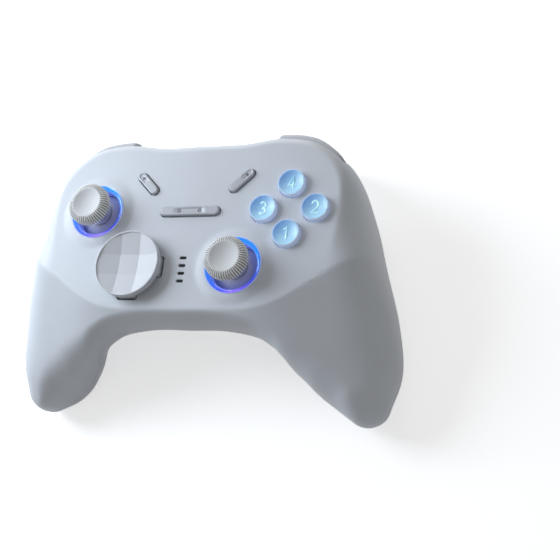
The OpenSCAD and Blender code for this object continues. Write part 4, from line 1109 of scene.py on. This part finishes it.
def stick_cap(side):
    """Knurled cap with a smooth dish, and the neck and round skirt under it."""
    node = f"{side}_stick_cap"
    place = middle(node)
    top = corners(node)[1][2]
    low = top - CAP_T
    ball = (DISH_R**2 + DISH_DEPTH**2) / (2 * DISH_DEPTH)
    profile = [(0, top - DISH_DEPTH)]
    for r in np.linspace(0, DISH_R, DISH_STEPS)[1:]:
        profile.append((r, top - DISH_DEPTH + ball - math.sqrt(ball**2 - r**2)))
    dents = [(0, 0)] * len(profile)
    inner = DISH_R + CAP_RIM
    wide = CAP_R - inner
    for t in np.linspace(0, math.pi / 2, CROWN_STEPS):
        outwards, upwards = CAP_FALL * math.sin(t), wide * math.cos(t)
        depth = KNURL_DEPTH * float(smooth_step(math.sin(t) * KNURL_EASE)) / math.hypot(outwards, upwards)
        profile.append((inner + wide * math.sin(t), top - CAP_FALL * (1 - math.cos(t))))
        dents.append((depth * outwards, depth * upwards))
    for z in np.linspace(top - CAP_FALL, low + CAP_FOOT, BAND_STEPS)[1:]:
        profile.append((CAP_R, z))
        dents.append((KNURL_DEPTH, 0))
    for inward, below in quarter(CAP_FOOT, FINE_ROUND)[1:]:
        profile.append((CAP_R - inward, low + below))
        dents.append((KNURL_DEPTH * (1 - inward / CAP_FOOT), 0))
    profile += [(NECK_R + outward, low - below) for outward, below in NECK_CURVE]
    profile.append((0, low - NECK_H))
    dents += [(0, 0)] * (len(profile) - len(dents))
    solid = revolve(profile, count=KNURLS * KNURL_STEPS, dents=dents, wave=knurl)
    add_piece(f"{side}_thumb_cap", solid, place,
              cap_rubber(side), "cap_rubber", f"{side}_stick", [node], sharp=50)
    first = math.degrees(math.asin(NECK_R / SKIRT_R))
    edges = [limit + step for limit in SKIRT_GROOVE for step in (-GROOVE_EDGE, GROOVE_EDGE)]
    turns = np.radians(sorted([*np.linspace(first, SKIRT_HALF, SKIRT_STEPS), *edges]))
    inner_r = SKIRT_R - SKIRT_T
    profile = [(0, low - SKIRT_DROP), (NECK_R - NECK_INSIDE, low - SKIRT_DROP)]
    for t in turns:
        inside = SKIRT_GROOVE[0] < math.degrees(t) < SKIRT_GROOVE[1]
        r = SKIRT_R - GROOVE_DEEP * inside
        profile.append((r * math.sin(t), PIVOT_Z + r * math.cos(t)))
    profile += [(inner_r * math.sin(t), PIVOT_Z + inner_r * math.cos(t)) for t in turns[::-1]]
    profile.append((0, PIVOT_Z + inner_r))
    add_piece(f"{side}_stick_skirt", revolve(profile), place, skirt_plastic, "cap_rubber", f"{side}_stick")


# Direction pad
PAD_RIM = 0.5
PAD_EDGE = 0.2
FACET_HALF = 3.9
FACET_RISE = 0.19
FACET_DEPTH = 2.0
FACET_ROOF = 3
FACET_OVER = 2
PAD_SIDES = 192


def pad_disc():
    """Disc with nine flat facets inside a narrow rim."""
    x, y, _ = middle("pad_disc")
    low, top = (corner[2] for corner in corners("pad_disc"))
    radius = corners("pad_disc")[1][0] - x
    profile = [(0, low), *rounded(radius, low, PAD_EDGE, FINE_ROUND, level=1)[::-1]]
    profile += [*rounded(radius, top, PAD_EDGE, FINE_ROUND), (0, top)]
    obj = new_object("pad_dish", moved(revolve(profile, count=PAD_SIDES), (x, y, 0)))
    reach = radius - PAD_RIM
    grid = (-radius, -FACET_HALF, FACET_HALF, radius)
    floor = top - FACET_DEPTH
    gx, gy = np.meshgrid(grid, grid, indexing="ij")
    out = np.maximum(np.abs(gx) - FACET_HALF, 0) + np.maximum(np.abs(gy) - FACET_HALF, 0)
    facets = np.dstack([gx, gy, floor + FACET_RISE * out])
    roof = np.dstack([gx, gy, np.full(gx.shape, top + FACET_ROOF)])
    tool = new_object("facets", moved(between_grids(facets, roof), (x, y, 0)))
    disc = prism(circle_outline(reach, PAD_SIDES)(0), low, top + FACET_OVER)
    combine(tool, [moved(disc, (x, y, 0))], "INTERSECT")
    tool_points = np.array([vertex.co for vertex in tool.data.vertices]) / MM - ORIGIN
    cut(obj, (tool_points, [tuple(polygon.vertices) for polygon in tool.data.polygons]))
    bpy.data.objects.remove(tool)
    finish_piece(obj, pad_plastic, "pad_plastic", "pad", ["pad_disc"], sharp=6)


# Face buttons
BUTTON_DISH = 0.8
BUTTON_EDGE = 0.22
STEM_R = 4.2
FLANGE_T = 0.9
GLYPH_H = 4.6
GLYPH_W = 2.9
GLYPH_HALF = 0.42
GLYPH_RIDGE = 0.22
GLYPH_SINK = 0.25
GLYPH_LIFT = 0.03
MITRE_LEAST = 0.7
BOWL_STEPS = 12


def dish_height(r, top):
    """Height of a face button's bowl at a distance from its middle."""
    ball = (BUTTON_BOWL**2 + BUTTON_DISH**2) / (2 * BUTTON_DISH)
    return top - BUTTON_DISH + ball - np.sqrt(ball**2 - np.minimum(r, BUTTON_BOWL)**2)


def arc_points(cx, cy, rx, ry, start, end, count=10):
    """Part of an ellipse."""
    turns = np.radians(np.linspace(start, end, count))
    return [(cx + rx * math.cos(t), cy + ry * math.sin(t)) for t in turns]


NUMERALS = {
    1: [(0.22, 0.76), (0.58, 1.0), (0.58, 0.0)],
    2: arc_points(0.5, 0.68, 0.4, 0.32, 165, -35) + [(0.1, 0.0), (0.95, 0.0)],
    3: arc_points(0.46, 0.74, 0.38, 0.26, 150, -80) + arc_points(0.46, 0.27, 0.42, 0.27, 80, -150),
    4: [(0.72, 0.0), (0.72, 1.0), (0.08, 0.3), (1.0, 0.3)],
}


def ridge(line, top):
    """Raised stroke with a sharp crest along a line, lying in the button's bowl."""
    line = np.array(line)
    steps = np.diff(line, axis=0)
    normals = np.column_stack([-steps[:, 1], steps[:, 0]]) / np.linalg.norm(steps, axis=1)[:, None]
    rings = []
    for i, point in enumerate(line):
        before = normals[max(i - 1, 0)]
        after = normals[min(i, len(normals) - 1)]
        across = before + after
        across = across / max(np.dot(across, across) / 2, MITRE_LEAST)
        left, right = point + across * GLYPH_HALF, point - across * GLYPH_HALF
        floor = dish_height(np.linalg.norm(point), top)
        feet = [(*foot, dish_height(np.linalg.norm(foot), top) + GLYPH_LIFT) for foot in (left, right)]
        rings.append([feet[0], (*point, floor + GLYPH_RIDGE), feet[1], (*point, floor - GLYPH_SINK)])
    return loft(rings)


def face_button(number):
    """Clear blue button with a shallow bowl and a raised numeral in it."""
    node = f"face_button_{number}"
    place = middle(node)
    low, top = (corner[2] for corner in corners(node))
    flange_r = corners(node)[1][0] - place[0]
    flange_top = -WALL - CLEAR
    profile = [(0, low), (STEM_R, low), (STEM_R, flange_top - FLANGE_T), (flange_r, flange_top - FLANGE_T),
               (flange_r, flange_top), (BUTTON_R, flange_top)]
    profile += rounded(BUTTON_R, top, BUTTON_EDGE)
    profile += [(r, dish_height(r, top)) for r in np.linspace(BUTTON_BOWL, 0, BOWL_STEPS)]
    profile[-1] = (0, top - BUTTON_DISH)
    add_piece(f"clear_button_{number}", revolve(profile), place,
              button_plastic(number), "clear_blue", node, [node])
    line = [((px - 0.5) * GLYPH_W, (py - 0.5) * GLYPH_H) for px, py in NUMERALS[number]]
    add_piece(f"button_numeral_{number}", ridge(line, top), place, glyph_blue, "clear_blue", node, sharp=15)


# Menu buttons and centre bar
KEY_EDGE = 0.55
SCOOP = 0.28
SCOOP_BLEND = 1.2
MENU_SCOOP_FROM = 0.2
BAR_SCOOP_HALF = 6.2
BAR_LOW = -2.9
MARK_T = 0.04
MARK_SINK = 0.1
MARK_SIDES = 32
DOT_R = 0.6
DOT_AT = 2.9
RING_MARK = (0.35, 0.78)
RING_MARK_AT = 4.2


def menu_button(side, sign):
    """Slanted key with a shallow scoop towards its upper end, and a plain dot in it."""
    node = f"{side}_menu_button"
    place = middle(node)
    top = corners(node)[1][2]
    floor = top - SCOOP
    flange_top = -WALL - CLEAR
    slant = sign * MENU_SLANT

    def lower(points):
        return SCOOP * smooth_step((sign * points[:, 0] - MENU_SCOOP_FROM) / SCOOP_BLEND)
    key = rounded_prism(stadium_outline(*MENU_SIZE), flange_top - FLANGE_T, top, KEY_EDGE, lower)
    add_piece(f"{side}_menu_key", key, place, button_metal, "button_metal_look", node, [node], turn=slant)
    dot = rounded_prism(circle_outline(DOT_R, MARK_SIDES), floor - MARK_SINK, floor + MARK_T, MARK_T)
    spot = moved(dot, (sign * DOT_AT, 0, 0))
    add_piece(f"{side}_menu_dot", spot, place, mark_ink, "button_metal_look", node, turn=slant)


def centre_bar():
    """Rocking bar with a shallow scoop in its middle and a plain ring at each end of it."""
    place = middle("centre_bar")
    top = corners("centre_bar")[1][2]
    floor = top - SCOOP

    def lower(points):
        return SCOOP * smooth_step((BAR_SCOOP_HALF - np.abs(points[:, 0])) / SCOOP_BLEND)
    bar = rounded_prism(stadium_outline(*BAR_SIZE), BAR_LOW, top, KEY_EDGE, lower)
    add_piece("rocker_bar", bar, place, button_metal, "button_metal_look", "centre_bar", ["centre_bar"])
    r0, r1 = RING_MARK
    z0, z1 = floor - MARK_SINK, floor + MARK_T
    ring = revolve([(r0, z0), (r1, z0), (r1, z1), (r0, z1)], closed=True, count=MARK_SIDES)
    marks = joined([moved(ring, (sign * RING_MARK_AT, 0, 0)) for _, sign in SIDES])
    add_piece("rocker_marks", marks, place, mark_ink, "button_metal_look", "centre_bar")


front_shell()
back_shell()
for side, sign in SIDES:
    bumper(side, sign)
    trigger(side, sign)
    light_ring(side)
    stick_cap(side)
    menu_button(side, sign)
pad_disc()
for number in NUMERALS:
    face_button(number)
centre_bar()

# CAD nodes that stay: each gets its material, and the ones that show get softened edges.
NODE_MATERIALS = dict(
    cross_plastic=cross_plastic, smoked=smoked, pad_rubber=pad_rubber, steel=steel, dense_metal=dense_metal,
    nylon=nylon, dark_plastic=dark_plastic, board=board, cell_wrap=cell_wrap,
)
NODE_SHARP = 30
SOFTEN_WIDTH = 0.15
SOFTEN_STEPS = 2
SOFTENED = ("pad_cross", "usb_socket", "screws", "left_trigger_frame", "right_trigger_frame")
for entry in frame["record"]["subparts"]:
    if entry["material_slot"] in NODE_MATERIALS:
        node = frame["nodes"][entry["node"]]
        dress(node.data, NODE_MATERIALS[entry["material_slot"]], NODE_SHARP)
        if entry["node"] in SOFTENED:
            soften = node.modifiers.new("soften", "BEVEL")
            soften.width = SOFTEN_WIDTH * MM
            soften.segments = SOFTEN_STEPS


def show_when_seen(tree, plain, bright, output):
    """Bright shader where it is seen or mirrored, and the plain one for the light on the object."""
    path = add_node(tree, "LightPath", {})
    seen = worked_out(tree, "Math", "MAXIMUM", path["Is Camera Ray"], path["Is Glossy Ray"])
    seen = worked_out(tree, "Math", "MAXIMUM", seen, path["Is Transmission Ray"])
    blend = add_node(tree, "MixShader", {"Fac": seen, 1: plain, 2: bright})
    tree.links.new(blend["Shader"], output.inputs["Surface"])


# Floor
FLOOR_SIZE = 8.0
FLOOR_PLAIN = (0.5, 0.5, 0.5)
FLOOR_ROUGH = 0.75
FLOOR_GLOW = 0.55
FLOOR_FADE = (0.2, 0.6)
floor_mesh = bpy.data.meshes.new("floor")
half = FLOOR_SIZE / 2
floor_corners = [(-half, -half, 0), (half, -half, 0), (half, half, 0), (-half, half, 0)]
floor_mesh.from_pydata(floor_corners, [], [(0, 1, 2, 3)])
floor = add_object("floor", floor_mesh)
floor_material, tree, shader = principled("floor_white", FLOOR_PLAIN, FLOOR_ROUGH)
away = flat_distance(tree, coordinates(tree))
seen_floor = add_node(tree, "BsdfDiffuse", {"Color": WHITE})
shine = add_node(tree, "Emission", {"Strength": map_range(tree, away, *FLOOR_FADE, FLOOR_GLOW, 1)})
both = add_node(tree, "AddShader", {0: seen_floor["BSDF"], 1: shine["Emission"]})
show_when_seen(tree, shader.outputs["BSDF"], both["Shader"], tree.nodes["Material Output"])
floor.data.materials.append(floor_material)

# Light
WORLD_LIGHT = 0.2
world = bpy.data.worlds.new("studio")
bpy.context.scene.world = world
world.use_nodes = True
tree = world.node_tree
sky = tree.nodes["Background"]
sky.inputs["Color"].default_value = WHITE
sky.inputs["Strength"].default_value = WORLD_LIGHT
backdrop = add_node(tree, "Background", {"Color": WHITE, "Strength": 1})
show_when_seen(tree, sky.outputs["Background"], backdrop["Background"], tree.nodes["World Output"])

# Square soft lamps that face the object: name, place and width in metres, watts and colour.
CENTRE = (0, 0, 0.03)
COOL = (0.82, 0.9, 1.0)
NEUTRAL = (1.0, 0.98, 0.95)
LAMPS = (
    ("key", (-0.28, 0.10, 0.225), 0.24, 1.3, COOL),
    ("back", (-0.05, 0.45, 0.12), 0.3, 0.55, NEUTRAL),
    ("fill", (0.5, -0.3, 0.5), 0.6, 0.3, NEUTRAL),
)
for name, place, size, watts, colour in LAMPS:
    lamp = bpy.data.lights.new(name, "AREA")
    lamp.size = size
    lamp.energy = watts
    lamp.color = colour
    softbox = add_object(name, lamp)
    softbox.location = place
    softbox.rotation_euler = (Vector(CENTRE) - Vector(place)).to_track_quat("-Z", "Y").to_euler()
    softbox.visible_camera = False

# Camera, at the photograph's viewing angle
LENS = 62.0
CAMERA_AT = (0.1518, -0.12315, 0.3484)
AZIMUTH = 45.16
ELEVATION = 62.46
ROLL = -41.73
camera_data = bpy.data.cameras.new("camera")
camera_data.lens = LENS
camera = add_object("camera", camera_data)
turn = Matrix.Rotation(math.radians(AZIMUTH), 4, "Z")
tilt = Matrix.Rotation(math.radians(90 - ELEVATION), 4, "X")
roll = Matrix.Rotation(math.radians(ROLL), 4, "Z")
camera.matrix_world = Matrix.Translation(CAMERA_AT) @ turn @ tilt @ roll
bpy.context.scene.camera = camera
bpy.context.scene.view_settings.view_transform = "Standard"
